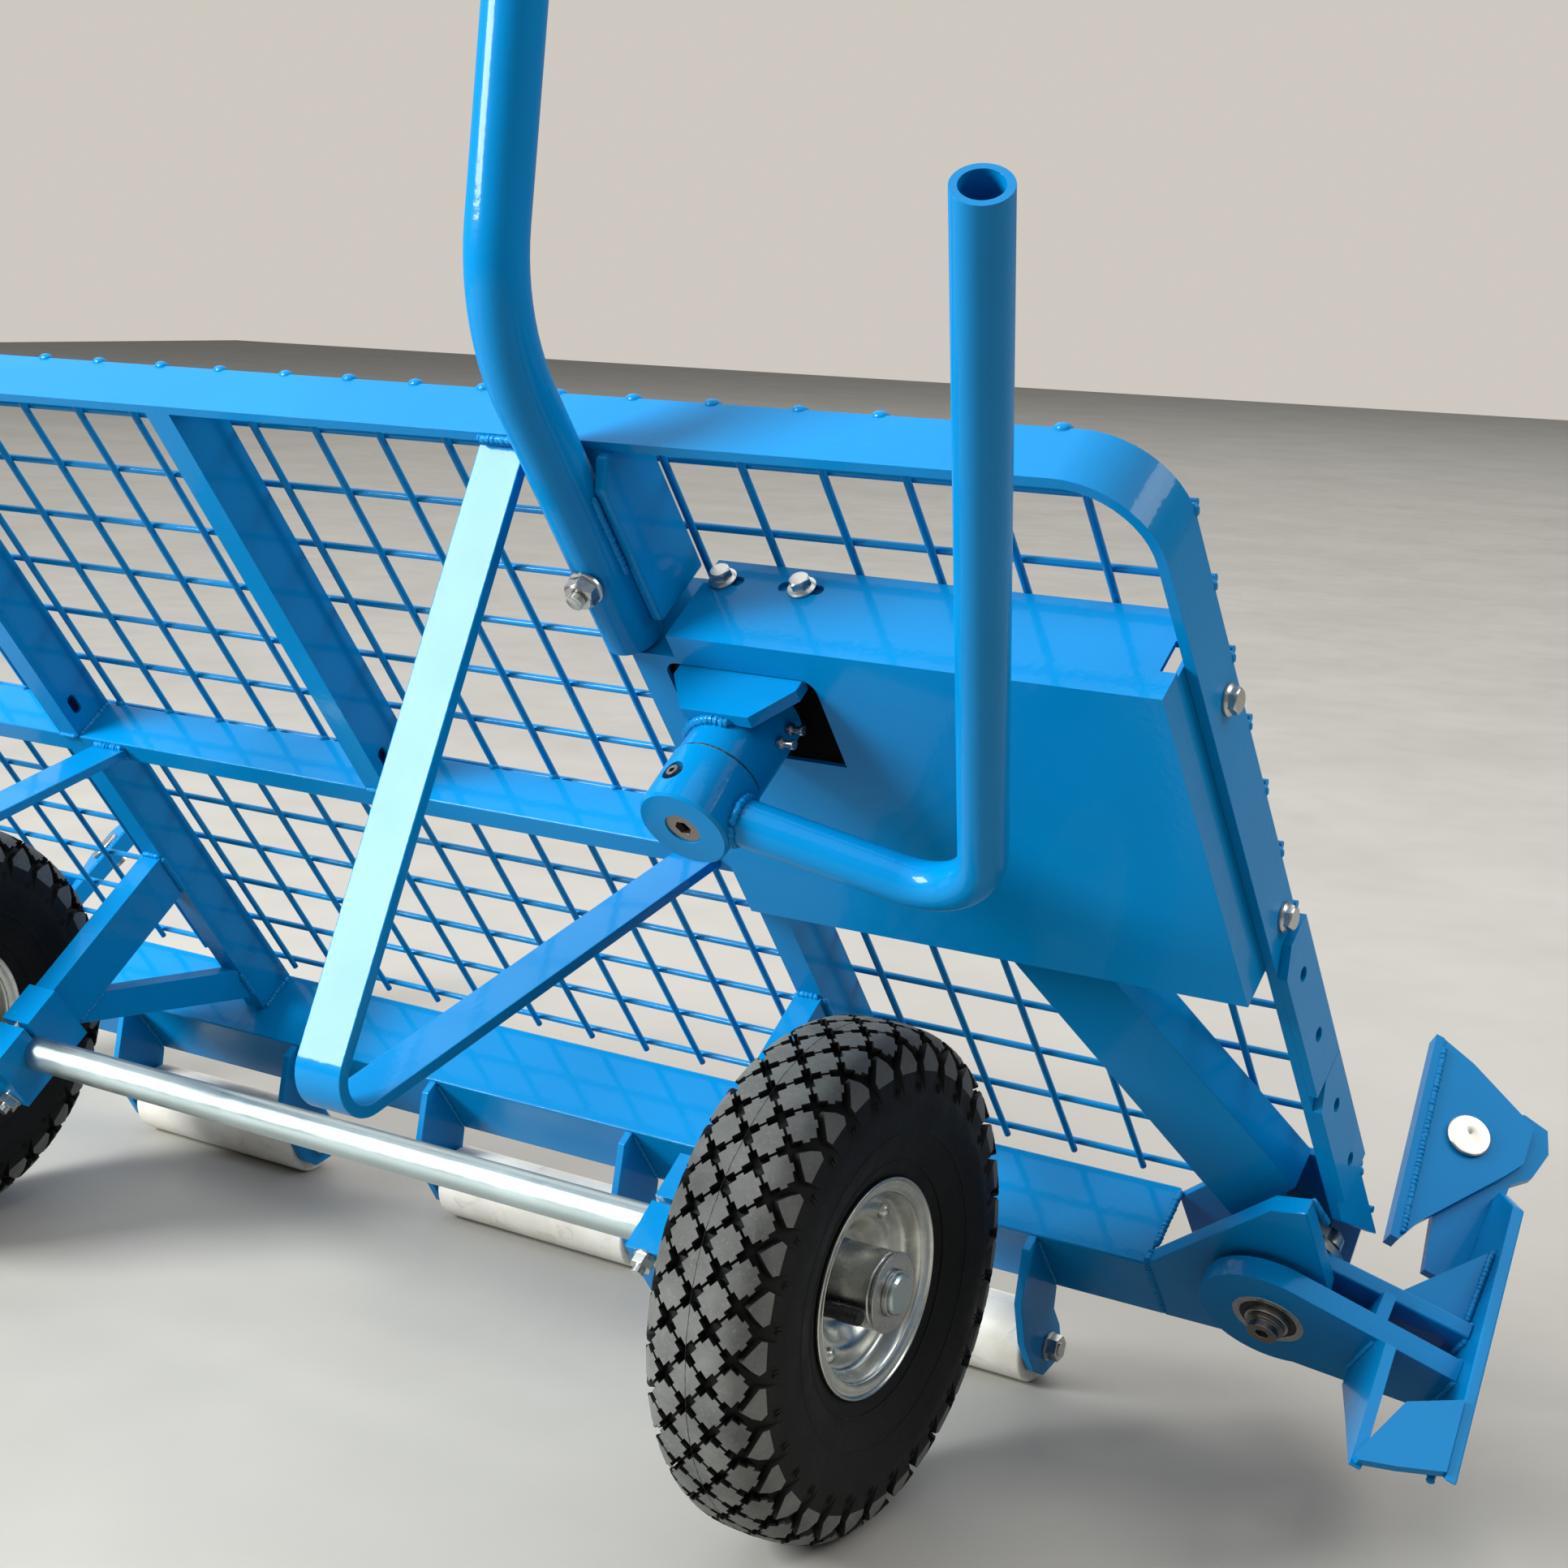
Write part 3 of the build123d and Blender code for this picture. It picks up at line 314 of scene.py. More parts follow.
class Shape:
    """Vertices and faces collected for one piece."""

    def __init__(self):
        self.verts, self.faces, self.mats = [], [], []

    def add(self, verts, faces, mat=0):
        start = len(self.verts)
        self.verts += verts
        self.faces += [tuple(start + i for i in f) for f in faces]
        self.mats += [mat] * len(faces) if isinstance(mat, int) else mat

    def lathe(self, profile, centre, axis, segments=64, mat=0, loop=True):
        """Turns (along, radius) points in mm round an axis; loop joins the last to the first."""
        b, c = basis(axis)
        a = axis.normalized()
        verts, faces, n = [], [], len(profile)
        for k in range(segments):
            d = b * cos(2 * pi * k / segments) + c * sin(2 * pi * k / segments)
            verts += [centre + a * (p * MM) + d * (r * MM) for p, r in profile]
        for k in range(segments):
            k1 = (k + 1) % segments
            for i in range(n if loop else n - 1):
                i1 = (i + 1) % n
                faces.append((k * n + i, k * n + i1, k1 * n + i1, k1 * n + i))
        if not loop:
            for i in (0, n - 1):
                ring = tuple(k * n + i for k in range(segments))
                faces.append(ring if i == 0 else ring[::-1])
        self.add(verts, faces, mat)

    def tube(self, points, radii, segments=8, mat=0):
        """Closed tube through points, radii in mm."""
        verts, faces, last = [], [], len(points) - 1
        across = None
        for i, p in enumerate(points):
            t = (points[min(i + 1, last)] - points[max(i - 1, 0)]).normalized()
            across = basis(t)[0] if across is None else (across - t * across.dot(t)).normalized()
            up = t.cross(across)
            turns = [2 * pi * k / segments for k in range(segments)]
            verts += [p + (across * cos(a) + up * sin(a)) * (radii[i] * MM) for a in turns]
        for i in range(last):
            for k in range(segments):
                k1 = (k + 1) % segments
                near, far = i * segments, (i + 1) * segments
                faces.append((near + k, near + k1, far + k1, far + k))
        faces.append(tuple(range(segments))[::-1])
        faces.append(tuple(last * segments + k for k in range(segments)))
        self.add(verts, faces, mat)

    def bead(self, points, r, pitch=3.4):
        """Weld bead: overlapping ripples along a path."""
        path, radii = [], []
        for p, q in zip(points, points[1:]):
            steps = max(3, round((q - p).length / MM / pitch * 4))
            path += [p.lerp(q, k / steps) for k in range(steps)]
        path.append(points[-1])
        for i in range(len(path)):
            end = min(1.0, 0.35 + min(i, len(path) - 1 - i) * 0.3)
            radii.append(r * end * (0.80 + 0.22 * abs(sin(pi * i / 4)) + random.uniform(-0.06, 0.06)))
        jitter = r * 0.10 * MM
        path = [p + Vector([random.uniform(-jitter, jitter) for _ in range(3)]) for p in path]
        self.tube(path, radii)

    def ring_bead(self, centre, axis, radius, r, start=0.0, end=360.0):
        b, c = basis(axis)
        steps = max(8, round(radius * radians(end - start) / 4))
        arc = [radians(start + (end - start) * k / steps) for k in range(steps + 1)]
        self.bead([centre + (b * cos(t) + c * sin(t)) * (radius * MM) for t in arc], r)

    def blob(self, centre, rx, squash=1.0, axis=N_DIR):
        """Small rounded lump."""
        prof = [(-rx * squash * cos(pi * k / 6), max(0.05, rx * sin(pi * k / 6))) for k in range(7)]
        self.lathe(prof, centre, axis, 10, loop=False)

    def hexagon(self, centre, axis, across, low, high, turn=0.0, dome=0.18):
        """Hexagon head with chamfered corners, from low to high along the axis, mm."""
        b, c = basis(axis)
        a = axis.normalized()
        corner = across / cos(pi / 6) / 2
        rows, drop = [], corner * dome
        sign = 1 if high > low else -1
        count = 24
        for level, flat in ((low, False), (high - sign * drop, False), (high, True)):
            row = []
            for k in range(count):
                t = 2 * pi * k / count
                local = (t % (pi / 3)) - pi / 6
                r = across / 2 / cos(local)
                if flat:
                    r = across / 2 * 0.93
                z = level
                if level == high - sign * drop:
                    z = high - sign * drop * (0.35 + 0.65 * (r - across / 2) / (corner - across / 2))
                row.append(centre + a * (z * MM) + (b * cos(t + turn) + c * sin(t + turn)) * (r * MM))
            rows += row
        faces = []
        for i in range(2):
            for k in range(count):
                k1 = (k + 1) % count
                faces.append((i * count + k, i * count + k1, (i + 1) * count + k1, (i + 1) * count + k))
        faces.append(tuple(range(count))[::-1])
        faces.append(tuple(2 * count + k for k in range(count)))
        if sign < 0:
            faces = [f[::-1] for f in faces]
        self.add(rows, faces)

    def make(self, name, body, mats, angle=40):
        return piece(name, self.verts, self.faces, body, mats, self.mats, True, angle)


def curve_through(points, per=6):
    """Catmull-Rom through 2-D points."""
    out, n = [], len(points)
    for i in range(n - 1):
        p0, p1, p2, p3 = points[max(i - 1, 0)], points[i], points[i + 1], points[min(i + 2, n - 1)]
        for k in range(per):
            t = k / per
            out.append(tuple(
                0.5 * (2 * p1[d] + (p2[d] - p0[d]) * t + (2 * p0[d] - 5 * p1[d] + 4 * p2[d] - p3[d]) * t * t
                       + (3 * p1[d] - p0[d] - 3 * p2[d] + p3[d]) * t ** 3) for d in (0, 1)))
    out.append(points[-1])
    return out


# ---- tyres ----
WHEEL_X, WHEEL_R = 410.0, 156.35
ROWS, LANE = 31, 14.2  # tread blocks round the tyre, and spacing of the columns across it
GROOVE = 6.0
BLOCK_FOOT = GROOVE + 0.8  # depth of a block's hidden foot in the casing
BLOCK_FILL = 0.765  # share of its cell that a diamond fills
BLOCK_TAB, BLOCK_TAB_WIDTH = 1.24, 0.30  # reach and half width of the bridges between diamonds
BLACK, WORN = 0, 1  # material slots of the tyre
CROWN = curve_through([(0, WHEEL_R), (20, WHEEL_R - 1.5), (32, WHEEL_R - 8.5), (37.8, WHEEL_R - 24),
                       (39.3, 112)], 10)
CROWN_S = [0.0]
for p, q in zip(CROWN, CROWN[1:]):
    CROWN_S.append(CROWN_S[-1] + hypot(q[0] - p[0], q[1] - p[1]))


def crown(s, depth):
    """(x, radius) on the tyre's crown at arc length s from the middle, depth mm under the tread's face."""
    side, s = (1 if s >= 0 else -1), min(abs(s), CROWN_S[-1] - 0.01)
    i = max(k for k in range(len(CROWN_S) - 1) if CROWN_S[k] <= s)
    f = (s - CROWN_S[i]) / (CROWN_S[i + 1] - CROWN_S[i])
    (x0, r0), (x1, r1) = CROWN[i], CROWN[i + 1]
    length = hypot(x1 - x0, r1 - r0)
    nx, nr = -(r1 - r0) / length, (x1 - x0) / length
    x, r = x0 + (x1 - x0) * f - nx * depth, r0 + (r1 - r0) * f - nr * depth
    return side * x, r


def block_grid(tab, tau):
    """Cells and rim of one diamond in (p, q) from -1 to 1, with a tab tau wide out to tab on each edge."""
    lines = (-1, -tau, tau, 1)
    cells = []
    for p0, p1 in zip(lines, lines[1:]):
        cells += [((p0, q0), (p1, q0), (p1, q1), (p0, q1)) for q0, q1 in zip(lines, lines[1:])]
    cells += [((1, -tau), (tab, -tau), (tab, tau), (1, tau)),
              ((-tab, -tau), (-1, -tau), (-1, tau), (-tab, tau)),
              ((-tau, 1), (tau, 1), (tau, tab), (-tau, tab)),
              ((-tau, -tab), (tau, -tab), (tau, -1), (-tau, -1))]
    # one corner and the tab after it, turned through the four quarters
    rim, quarter = [], [(1, -1), (1, -tau), (tab, -tau), (tab, tau), (1, tau)]
    for _ in range(4):
        rim += quarter
        quarter = [(-q, p) for p, q in quarter]
    return cells, rim


def tread_block(shape, cells, rim, place):
    """Closed block: worn top, small chamfer, black walls down into the casing."""
    top, foot = 0.965, 1.03  # outline scale at the worn face and down in the casing
    keys, verts = {}, []

    def vert(pq, k, depth):
        key = (pq, k, depth)
        if key not in keys:
            keys[key] = len(verts)
            verts.append(place(pq[0] * k, pq[1] * k, depth))
        return keys[key]

    faces = [tuple(vert(p, top, 0.0) for p in cell) for cell in cells]
    mats = [WORN] * len(faces)
    for a, b in zip(rim, rim[1:] + rim[:1]):
        for (k0, d0), (k1, d1) in (((top, 0.0), (1.0, 0.45)), ((1.0, 0.45), (foot, BLOCK_FOOT))):
            faces.append((vert(a, k0, d0), vert(b, k0, d0), vert(b, k1, d1), vert(a, k1, d1)))
            mats.append(BLACK)
    faces.append(tuple(vert(p, foot, BLOCK_FOOT) for p in rim)[::-1])
    mats.append(BLACK)
    shape.add(verts, faces, mats)


def tyre(name, sx):
    centre = at(sx * WHEEL_X, AXLE_U, AXLE_N)
    shape = Shape()
    half = [crown(s, GROOVE) for s in range(0, 44, 3)]
    half += curve_through([crown(46, GROOVE * 0.8), crown(54, GROOVE * 0.35), (39.2, 119), (39.4, 110),
                           (37.3, 96), (34.6, 86), (31.0, 76), (27.6, 66.4)], 4)
    # bead seat and the hollow inside
    half += [(27.1, 57.1), (13, 57.1), (13, 64), (20, 72), (28.5, 92), (31.5, 112), (29, 130), (20, 141),
             (0, 145)]
    loop = half + [(-x, r) for x, r in half[-2:0:-1]]
    shape.lathe(loop, centre, X_DIR, 180)
    # moulded ring and bead ridge on the sidewall
    for side in (1, -1):
        for x, r, thick in ((37.0, 96.5, 0.9), (31.2, 77.5, 1.1)):
            ring = [(side * (x + thick * cos(t)), r + thick * 1.6 * sin(t))
                    for t in (0, 1.05, 2.1, 3.14, 4.2, 5.25)]
            shape.lathe(ring, centre, X_DIR, 120)
    b, c = Vector((0, 0, 1)), Vector((0, 1, 0))
    pitch = 2 * pi / ROWS

    def point(s, turn, depth):
        x, r = crown(s, depth)
        return centre + X_DIR * (x * MM) + (b * cos(turn) + c * sin(turn)) * (r * MM)

    cells, outline = block_grid(BLOCK_TAB, BLOCK_TAB_WIDTH)
    for lane in range(-2, 3):
        for row in range(ROWS):
            mid = (row + 0.5 * (lane % 2)) * pitch

            def place(p, q, depth, mid=mid, lane=lane):
                across, along = LANE * BLOCK_FILL * (p + q) / 2, pitch * BLOCK_FILL / 2 * (p - q) / 2
                return point(lane * LANE + across, mid + along, depth)
            tread_block(shape, cells, outline, place)
    # shoulder lugs: half diamonds that run on down the side
    lug = ((-11.4, 0.0), (-5.0, 0.21), (1.5, 0.375), (6.5, 0.32), (14.0, 0.26), (19.0, 0.21),
           (19.0, -0.21), (14.0, -0.26), (6.5, -0.32), (1.5, -0.375), (-5.0, -0.21))
    lug_cells = ((0, 1, 10), (1, 2, 9, 10), (2, 3, 8, 9))
    wall_cells = ((3, 4, 7, 8), (4, 5, 6, 7))
    for side in (1, -1):
        for row in range(ROWS):
            mid = (row + 0.5) * pitch
            rings = []
            for k, depth in ((0.955, 0.0), (1.0, 0.5), (1.04, BLOCK_FOOT)):
                rings.append([point(side * (3 * LANE + 2 + (s - 3) * k + 3), mid + f * k * pitch, depth)
                              for s, f in lug])
            n = len(lug)
            verts = [v for ring in rings for v in ring]
            faces = list(lug_cells + wall_cells)
            mats = [WORN] * len(lug_cells) + [BLACK] * len(wall_cells)
            for i in range(2):
                for k in range(n):
                    k1 = (k + 1) % n
                    faces.append((i * n + k, i * n + k1, (i + 1) * n + k1, (i + 1) * n + k))
                    mats.append(BLACK)
            faces.append(tuple(2 * n + k for k in range(n))[::-1])
            mats.append(BLACK)
            shape.add(verts, faces, mats)
            # two short bars below each gap between lugs
            for off in (-0.05, 0.05):
                bar = [point(side * s, mid + (0.5 + off) * pitch, 0.1) for s in (57.5, 60.5, 63.5)]
                shape.tube(bar, (0.5, 0.7, 0.5), 6)
    # mould line round the middle
    turns = [2 * pi * k / 240 for k in range(240)]
    wander = [0.5 * sin(t * 7) + random.uniform(-0.25, 0.25) for t in turns]
    pts = [point(w, t, 0.12) for w, t in zip(wander, turns)]
    shape.tube(pts + pts[:1], [0.22] * 241, 5)
    obj = shape.make(name, f"wheel_{'right' if sx > 0 else 'left'}", [TYRE, TREAD], 50)
    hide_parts(f"tyre_{'right' if sx > 0 else 'left'}")


# ---- rims, valves ----
def rim(name, sx):
    side = "right" if sx > 0 else "left"
    centre = at(sx * WHEEL_X, AXLE_U, AXLE_N)
    out = curve_through([(2.6, 24.1), (2.8, 26), (4.6, 30.0), (9.6, 34.4), (13.6, 38.4), (15.2, 43),
                         (15.6, 50), (17.4, 53.2), (22, 54.6), (26.6, 56.6), (28.6, 60.5), (29.4, 64.2),
                         (30.7, 65.9), (30.2, 67.0), (28.6, 66.8)], 4)
    back = curve_through([(27.5, 64.5), (27.1, 60), (26.8, 57.0), (13.2, 57.0), (12.4, 48), (10.8, 42),
                          (6.5, 37.5), (2.4, 33.5), (0, 32.5)], 3)
    half = out + back
    loop = half + [(-x, r) for x, r in half[-2::-1]]
    shape = Shape()
    shape.lathe(loop, centre, X_DIR, 128)
    # rivets that hold the halves together
    b, c = Vector((0, 0, 1)), Vector((0, 1, 0))
    for s in (1, -1):
        for k in range(4):
            t = radians(38 + 90 * k)
            spot = centre + (b * cos(t) + c * sin(t)) * (46 * MM) + X_DIR * (s * 15.2 * MM)
            dome = [(0, 0.1), (0, 5.2), (1.2, 5.0), (3.0, 3.6), (3.9, 0.1)]
            shape.lathe([(s * a, r) for a, r in dome], spot, X_DIR, 20, loop=False)
    obj = shape.make(name, f"wheel_{side}", [RIM], 45)
    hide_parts(f"rim_{side}")


def valve(name, sx):
    side = "right" if sx > 0 else "left"
    lo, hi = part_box(f"valve_{side}")
    mid = (lo + hi) / 2
    shape = Shape()
    profile = [(-19, 0.1), (-19, 6.6), (-17, 6.4), (-15, 5.0), (-9, 4.4), (-2.4, 4.2), (-2.0, 4.9)]
    for k in range(7):
        profile += [(-0.8 + k * 1.6, 4.95), (0.0 + k * 1.6, 4.5)]
    profile += [(11.0, 4.8), (12.0, 4.2), (12.4, 3.0), (12.4, 0.1)]
    shape.lathe([(sx * a, r) for a, r in profile], mid, X_DIR, 32, loop=False)
    obj = shape.make(name, f"wheel_{side}", [CAP], 35)
    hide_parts(f"valve_{side}")


for sx, side in ((1, "right"), (-1, "left")):
    tyre(f"tyre_treaded_{side}", sx)
    rim(f"rim_pressed_{side}", sx)
    valve(f"valve_capped_{side}", sx)

# ---- fasteners ----
bolts = Shape()


def washer(shape, centre, axis, radius, low, high):
    sign = 1 if high > low else -1
    edge = 0.25 * sign
    profile = [(low, 0.2), (low, radius - 0.3), (low + edge, radius), (high - edge, radius),
               (high, radius - 0.4), (high, 0.2)]
    shape.lathe(profile, centre, axis, 40, loop=False)


def screw(shape, centre, axis, across, flange, low, height, turn):
    """Flange head: washer skirt, hexagon and a shallow dish."""
    washer(shape, centre, axis, flange, low, low + 1.5)
    shape.lathe([(low + 1.5, 0.2), (low + 1.5, flange * 0.96), (low + 2.6, across * 0.54), (low + 2.6, 0.2)],
                centre, axis, 40, loop=False)
    shape.hexagon(centre, axis, across, low + 2.0, low + height, turn)


def thread(shape, centre, axis, radius, low, high):
    """Thread end with visible turns."""
    steps = max(2, round(abs(high - low) / 0.6))
    prof = [(low, 0.1)]
    for k in range(steps):
        z = low + (high - low) * k / steps
        prof += [(z, radius), (z + (high - low) / steps / 2, radius - 0.45)]
    prof += [(high, radius - 0.9), (high, 0.1)]
    shape.lathe(prof, centre, axis, 24, loop=False)


SLOT_X, SLOT_N, BOX_TOP, HALF_W = (355.5, 407.5), -21.0, -113.0, 647.5
for i, x in enumerate(SLOT_X):
    spot = at(x + 1, BOX_TOP, SLOT_N)
    thread(bolts, spot, U_DIR, 3.0, -8, 0.2)
    screw(bolts, spot, U_DIR, 11, 8.3, 0.1, 7.6, 0.3 + i)
for i, u in enumerate((-160, -328)):
    spot = at(HALF_W, u, -23)
    thread(bolts, spot, X_DIR, 4.0, -10.5, 0.2)
    screw(bolts, spot, X_DIR, 13, 8.7, 0.05, 6.7, 0.5 + i)
obj = bolts.make("cover_screws", "frame", [ZINC], 35)
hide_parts("cover_bolts")

POLE_X, POLE_N, POLE_R, BOLT_U = 313.0, 17.2, 16.85, -74.0
handle = Shape()
for sx in (1, -1):
    spot = at(sx * POLE_X, BOLT_U, POLE_N)
    washer(handle, spot, N_DIR, 10.6, POLE_R + 0.1, POLE_R + 2.1)
    handle.hexagon(spot, N_DIR, 17, POLE_R + 2.1, POLE_R + 10.4, 0.35, 0.2)
    thread(handle, spot, N_DIR, 5.0, POLE_R, POLE_R + 14.8)
    shank = [(-POLE_N + 0.2, 0.2), (-POLE_N + 0.2, 4.9), (POLE_R, 4.9), (POLE_R, 0.2)]
    handle.lathe(shank, spot, N_DIR, 24, loop=False)
obj = handle.make("handle_nuts", "frame", [ZINC], 35)
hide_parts("handle_bolts")

# ---- weld beads ----
UPRIGHT_X, LEG_X, CHEEK_X, ROLLER_X, BRACKET_X = 303.0, 263.0, 513.0, 335.0, 94.5
welds = Shape()


def seam(points, r):
    welds.bead([at(*p) for p in points], r)


for x in (0.0, UPRIGHT_X, -UPRIGHT_X):
    for s in (1, -1):
        e = x + s * 10.5
        seam([(e, -332, -1), (e, -332, -35)], 2.4)  # upright on the rail
        seam([(e, -6.3, -2), (e, -6.3, -35)], 2.2)  # upright under the top bar
        if x:
            seam([(e, -350.4, -1), (e, -350.4, -35)], 2.2)
            seam([(e, -650.6, -1), (e, -650.6, -34)], 2.8)
    seam([(x - 9, -331.8, 0.6), (x + 9, -331.8, 0.6)], 2.0)
for s in (1, -1):
    seam([(s * 641, -331.6, -1), (s * 641, -331.6, -35)], 2.4)
    seam([(s * 641, -350.6, -1), (s * 641, -350.6, -35)], 2.4)
    # bent flat legs
    for u, r in ((-3.5, 2.6), (-11.6, 2.2), (-336.6, 3.4), (-345.6, 2.6)):
        seam([(s * LEG_X - 15, u, 0.8), (s * LEG_X + 15, u, 0.8)], r)
    # pole brackets
    edge = s * (POLE_X + POLE_R + 0.6)
    seam([(edge, -22, POLE_N + 2.5), (edge, -76, POLE_N + 2.5)], 2.2)
    seam([(s * 330.4, -6.4, -4), (s * 330.4, -6.4, -28)], 2.2)
    seam([(s * 338.6, -6.4, -4), (s * 338.6, -6.4, -28)], 2.2)
    # axle struts and their braces
    for e in (-10.6, 10.6):
        seam([(s * UPRIGHT_X + e, -466, 0.6), (s * UPRIGHT_X + e, -504, 0.6)], 2.6)
    for u in (-464.6, -505.4):
        seam([(s * UPRIGHT_X - 9, u, 0.8), (s * UPRIGHT_X + 9, u, 0.8)], 2.6)
    for e in (-9.4, 9.4):
        seam([(s * UPRIGHT_X + e, -505.2, 107), (s * UPRIGHT_X + e, -505.2, 136)], 2.0)
        seam([(s * UPRIGHT_X + e, -606, 0.6), (s * UPRIGHT_X + e, -634, 0.6)], 2.4)
    for e in (-10.4, 10.4):
        seam([(s * UPRIGHT_X + e, -466, 140.6), (s * UPRIGHT_X + e, -504, 140.6)], 2.2)
    # corner cheeks to channel and side members
    seam([(s * CHEEK_X, -652.5, 25), (s * CHEEK_X, -709, 25)], 2.8)
    seam([(s * CHEEK_X, -651.2, 14.5), (s * CHEEK_X, -651.2, 25.4)], 2.8)
    seam([(s * 640.6, -548, 14), (s * 640.6, -584, 5)], 2.4)
    seam([(s * 514, -650.4, -34), (s * 514, -650.4, 12)], 2.6)
for xc in (-ROLLER_X, 0.0, ROLLER_X):
    for s in (1, -1):
        x = xc + s * BRACKET_X
        for e in (-3.4, 3.4):
            seam([(x + e, -656, 26.6), (x + e, -708, 26.6)], 2.0)
# drive case to rail and side member
seam([(455, -349.6, -2), (455, -349.6, -28)], 2.2)
seam([(520, -349.6, -2), (520, -349.6, -28)], 2.2)
# lever bearing: gusset to barrel
welds.ring_bead(at(LEVER_X, LEVER_U, 58.5), N_DIR, 26.8, 3.4, 250, 470)
welds.make("frame_welds", "frame", [BLUE], 60)

# lever tube to hub
lever_weld = Shape()
tube_dir = at(161.5, -44.7, 0) - at(0, 0, 0)
lever_weld.ring_bead(at(LEVER_X, LEVER_U, 97) + tube_dir.normalized() * (26.6 * MM), tube_dir, 13.4, 2.6)
lever_weld.make("lever_weld", "lever", [BLUE], 60)

for side, sx in (("right", 1), ("left", -1)):
    cw = Shape()

    def claw_seam(points, r):
        cw.bead([claw_at(sx, *p) for p in points], r)

    for w0, w1, n in ((45, -5, 47.6), (44, -5, 31.6), (38, -20, 13.4), (38, -20, 1.8)):
        claw_seam([(110.4, w0, n), (110.4, w1, n)], 2.6)
    for a in (57.6, 65.4):
        claw_seam([(a, 42, 47.6), (a, -4, 47.6)], 2.4)
    claw_seam([(110.2, 59, 82), (110.2, 72, 128)], 2.8)
    for w in (19.6, 27.4):
        claw_seam([(108.6, w, 0), (108.6, w, -58)], 2.2)
    cw.make(f"claw_welds_{side}", f"claw_{side}", [BLUE], 60)

# ---- jaw welds along the edge strip, and the turned pin head ----
for side, sx in (("right", 1), ("left", -1)):
    jaw = Shape()
    jaw.bead([claw_at(sx, 43.4, -29.6, -220), claw_at(sx, 63.2, -29.6, -72)], 2.4)
    jaw.bead([claw_at(sx, 42.8, -36.6, -220), claw_at(sx, 62.4, -36.6, -72)], 2.2)
    jaw.make(f"jaw_welds_{side}", f"jaw_{side}", [BLUE], 60)
    head = Shape()
    pin_axis = claw_at(sx, 0, 1, 0) - claw_at(sx, 0, 0, 0)
    head.lathe([(-29.85, 0.2), (-29.85, 14.4), (-29.3, 15.0), (-27.2, 15.0), (-26.3, 14.2), (-26.1, 12.0),
                (-26.2, 0.8), (-26.6, 0.2)], claw_at(sx, 80, 0, -164), pin_axis, 64, loop=False)
    head.make(f"jaw_pin_head_{side}", f"jaw_{side}", [STAINLESS], 35)

# ---- wire ends, welded over the bar's back edge ----
wires = Shape()
WIRE_COUNT, WIRE_PITCH, WIRE_N = 24, 51.2, -37.6
CORNER_X = 600  # wires past this end under the rounded corners
for k in range(WIRE_COUNT):
    x = (k - (WIRE_COUNT - 1) / 2) * WIRE_PITCH
    if abs(x) < CORNER_X:
        wires.blob(at(x + random.uniform(-2, 2), -1.7 + random.uniform(-0.5, 0.3), WIRE_N), 3.7, 1.5, X_DIR)
    for u in (-332, -350):  # the rail's two edges
        wires.blob(at(x, u, WIRE_N), 2.9, 0.9)
for j in range(12):
    for s in (1, -1):
        wires.blob(at(s * 645.6, -47 - 49 * j, -38.2), 3.2 + random.uniform(-0.3, 0.2), 1.3, U_DIR)
wires.make("wire_end_welds", "frame", [BLUE], 60)

# ---- painted shade: a near-black sheet behind the cover's window, where the inside of the box is in shade ----
window_shade = Shape()
corners = [(334, -201), (434, -201), (434, -133), (334, -133)]
sides = [(k, (k + 1) % 4, (k + 1) % 4 + 4, k + 4) for k in range(4)]
window_shade.add([at(x, u, n) for n in (23.7, 24.4) for x, u in corners], [(3, 2, 1, 0), (4, 5, 6, 7)] + sides)
window_shade.make("window_painted_shade", "frame", [SHADE], 35)

# ---- bearing seals ----
for side, sx in (("right", 1), ("left", -1)):
    seal = Shape()
    spot = at(sx * PIVOT_X, PIVOT_U, 0)
    seal.lathe([(45.9, 14.4), (46.5, 14.4), (46.7, 16.0), (46.5, 18.7), (45.9, 18.7)], spot, N_DIR, 64)
    seal.make(f"bearing_seal_{side}", f"claw_{side}", [CAP], 35)

# ---- grease in the gap between the hub and its bearing ----
gap = Shape()
GAP_R, GAP_N, GAP_STEPS = 24.6, 75.6, 72
ring = []
for k in range(GAP_STEPS):
    t = 2 * pi * k / GAP_STEPS
    ring.append(at(LEVER_X + GAP_R * cos(t), LEVER_U + GAP_R * sin(t), GAP_N + random.uniform(-0.2, 0.2)))
gap.tube(ring + ring[:1], [1.0 + random.uniform(-0.3, 0.5) for _ in range(GAP_STEPS + 1)], 7)
gap.make("bearing_grease", "frame", [GREASE], 60)

# ---- stage, light, camera ----
floor_mat, tree, bsdf, obj_out = nodes_of("pale_floor")
floor_tones = ((0.3, (0.335, 0.320, 0.292)), (0.7, (0.375, 0.360, 0.330)))
tree.links.new(ramp(tree, noise(tree, obj_out, 3.0, 5.0), floor_tones), bsdf.inputs["Base Color"])
tree.links.new(spread(tree, noise(tree, obj_out, 14.0, 4.0), 0.42, 0.6), bsdf.inputs["Roughness"])
bsdf.inputs["Specular IOR Level"].default_value = 0.35
mesh = bpy.data.meshes.new("floor")
REACH = 14
mesh.from_pydata([(-REACH, -REACH, 0), (REACH, -REACH, 0), (REACH, REACH, 0), (-REACH, REACH, 0)], [],
                 [(0, 1, 2, 3)])
mesh.materials.append(floor_mat)
floor = bpy.data.objects.new("floor", mesh)
bpy.context.scene.collection.objects.link(floor)

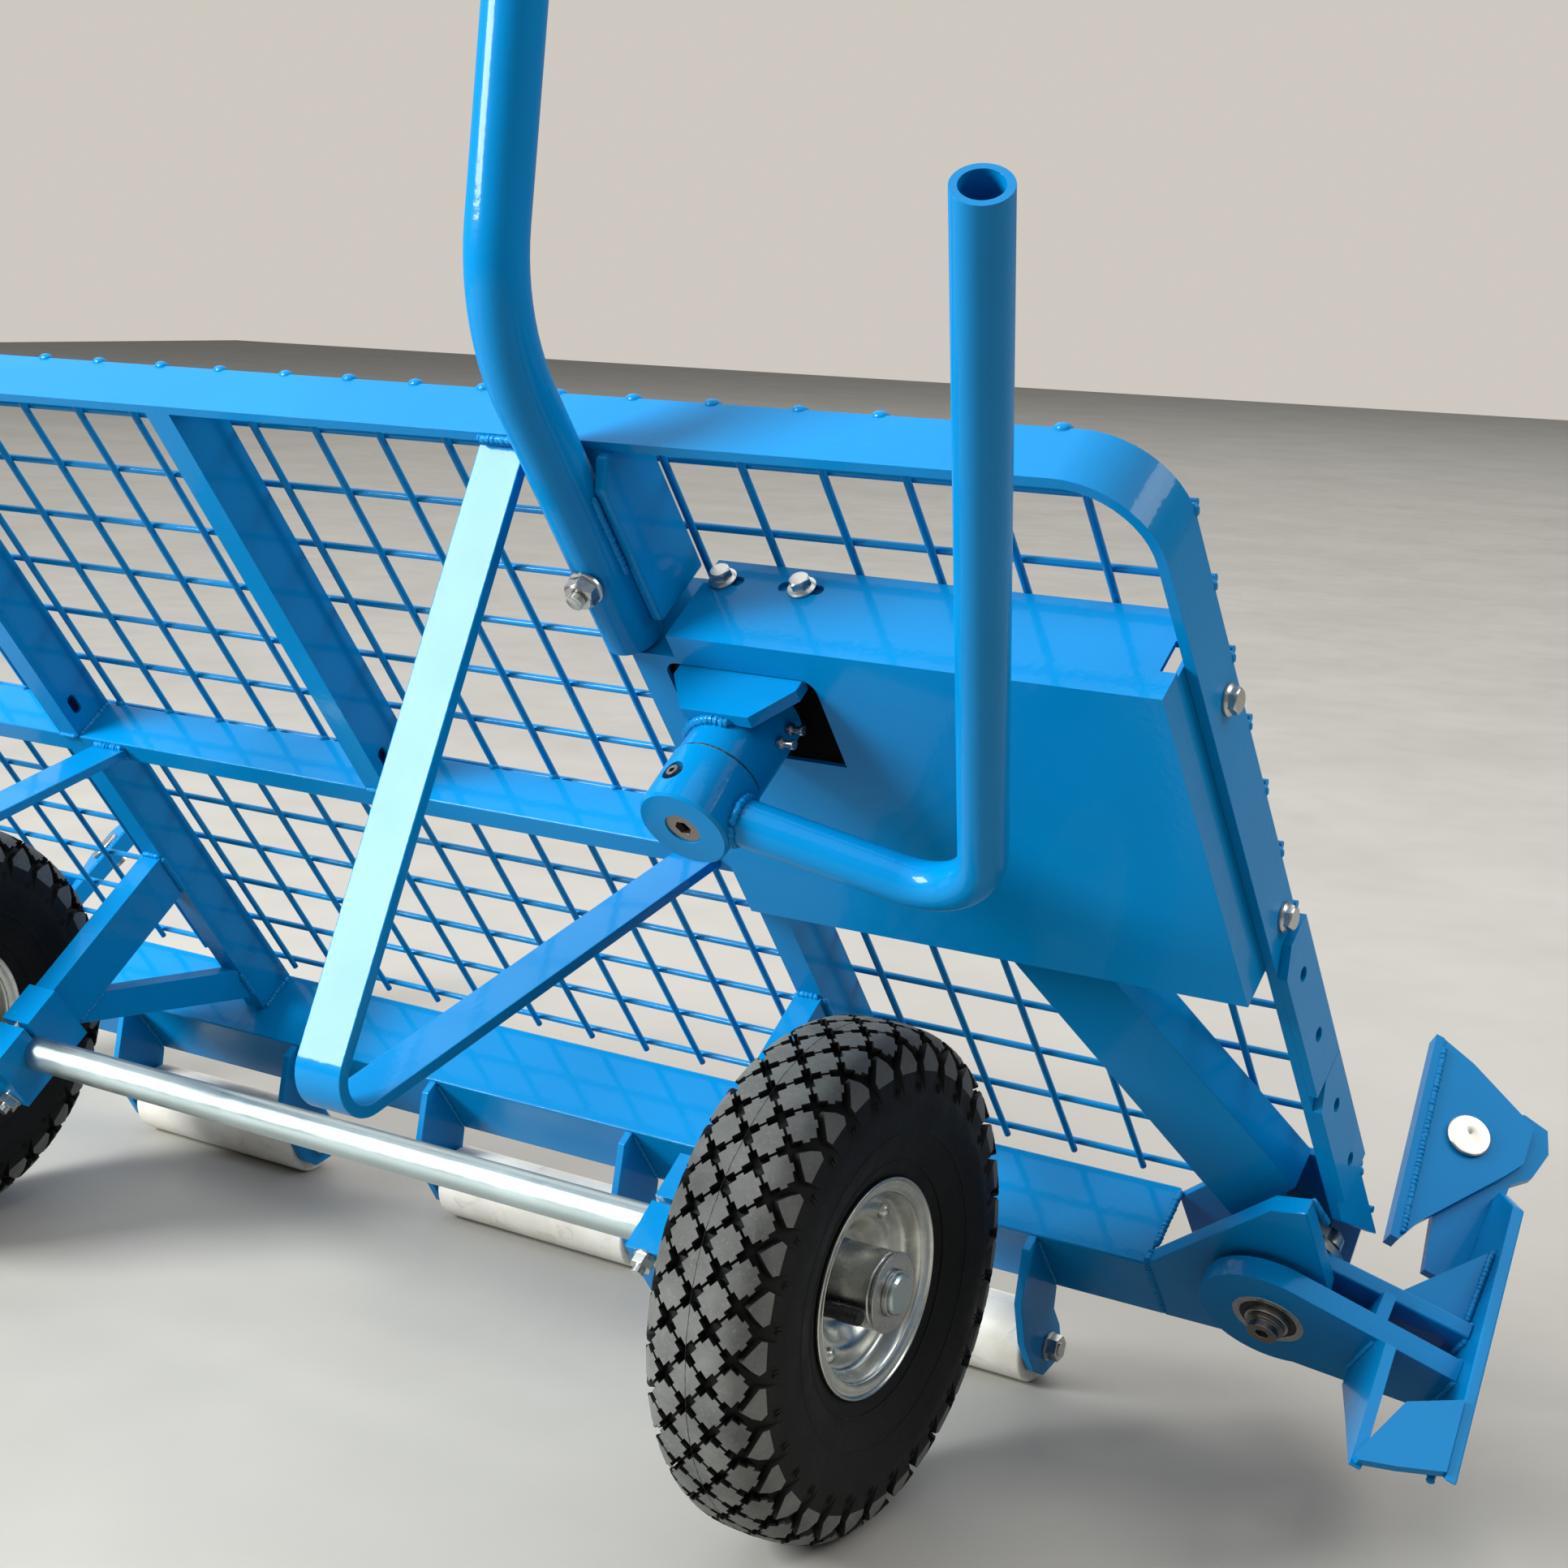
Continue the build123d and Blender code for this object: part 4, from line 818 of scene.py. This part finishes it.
scene = bpy.context.scene
world = bpy.data.worlds.new("room")
scene.world = world
world.use_nodes = True
sky = world.node_tree
fill = sky.nodes["Background"]
fill.inputs["Color"].default_value = (0.80, 0.80, 0.78, 1)
fill.inputs["Strength"].default_value = 0.30
# the backdrop looks paler than the light it gives
seen = sky.nodes.new("ShaderNodeBackground")
seen.inputs["Color"].default_value = (0.62, 0.58, 0.53, 1)
path = sky.nodes.new("ShaderNodeLightPath")
blend = sky.nodes.new("ShaderNodeMixShader")
sky.links.new(path.outputs["Is Camera Ray"], blend.inputs[0])
sky.links.new(fill.outputs[0], blend.inputs[1])
sky.links.new(seen.outputs[0], blend.inputs[2])
sky.links.new(blend.outputs[0], sky.nodes["World Output"].inputs["Surface"])
scene.view_settings.view_transform = "Standard"


def area(name, place, aim, size, power, colour=(1, 1, 1)):
    light = bpy.data.lights.new(name, "AREA")
    light.shape = "RECTANGLE"
    light.size, light.size_y = size
    light.energy = power
    light.color = colour
    obj = bpy.data.objects.new(name, light)
    obj.location = place
    obj.rotation_euler = (Vector(aim) - Vector(place)).to_track_quat("-Z", "Y").to_euler()
    scene.collection.objects.link(obj)


area("window", (-2.5, -2.9, 2.3), (0.2, -0.2, 0.5), (1.5, 1.7), 420, (0.94, 0.99, 1.0))
area("ceiling", (-1.5, 3.0, 5.4), (-1.4, 3.1, 0.0), (15.0, 14.0), 1000)
area("far_window", (3.2, 1.3, 2.6), (0.4, 0.0, 0.5), (1.2, 1.2), 40, (1.0, 0.98, 0.94))

camera = bpy.data.cameras.new("camera")
camera.sensor_width = 36
camera.lens = 57.97
cam = bpy.data.objects.new("camera", camera)
eye = at(1135.8, 720.8, 804.1)
# camera axes in deck terms: across, up the deck, out of the deck
right = X_DIR * 0.8407 + U_DIR * -0.2979 + N_DIR * -0.4521
up = X_DIR * -0.1359 + U_DIR * 0.6922 + N_DIR * -0.7088
right.normalize()
ahead = up.cross(right).normalized()
up = right.cross(ahead).normalized()
cam.matrix_world = Matrix.Translation(eye) @ Matrix((right, up, -ahead)).transposed().to_4x4()
scene.collection.objects.link(cam)
scene.camera = cam
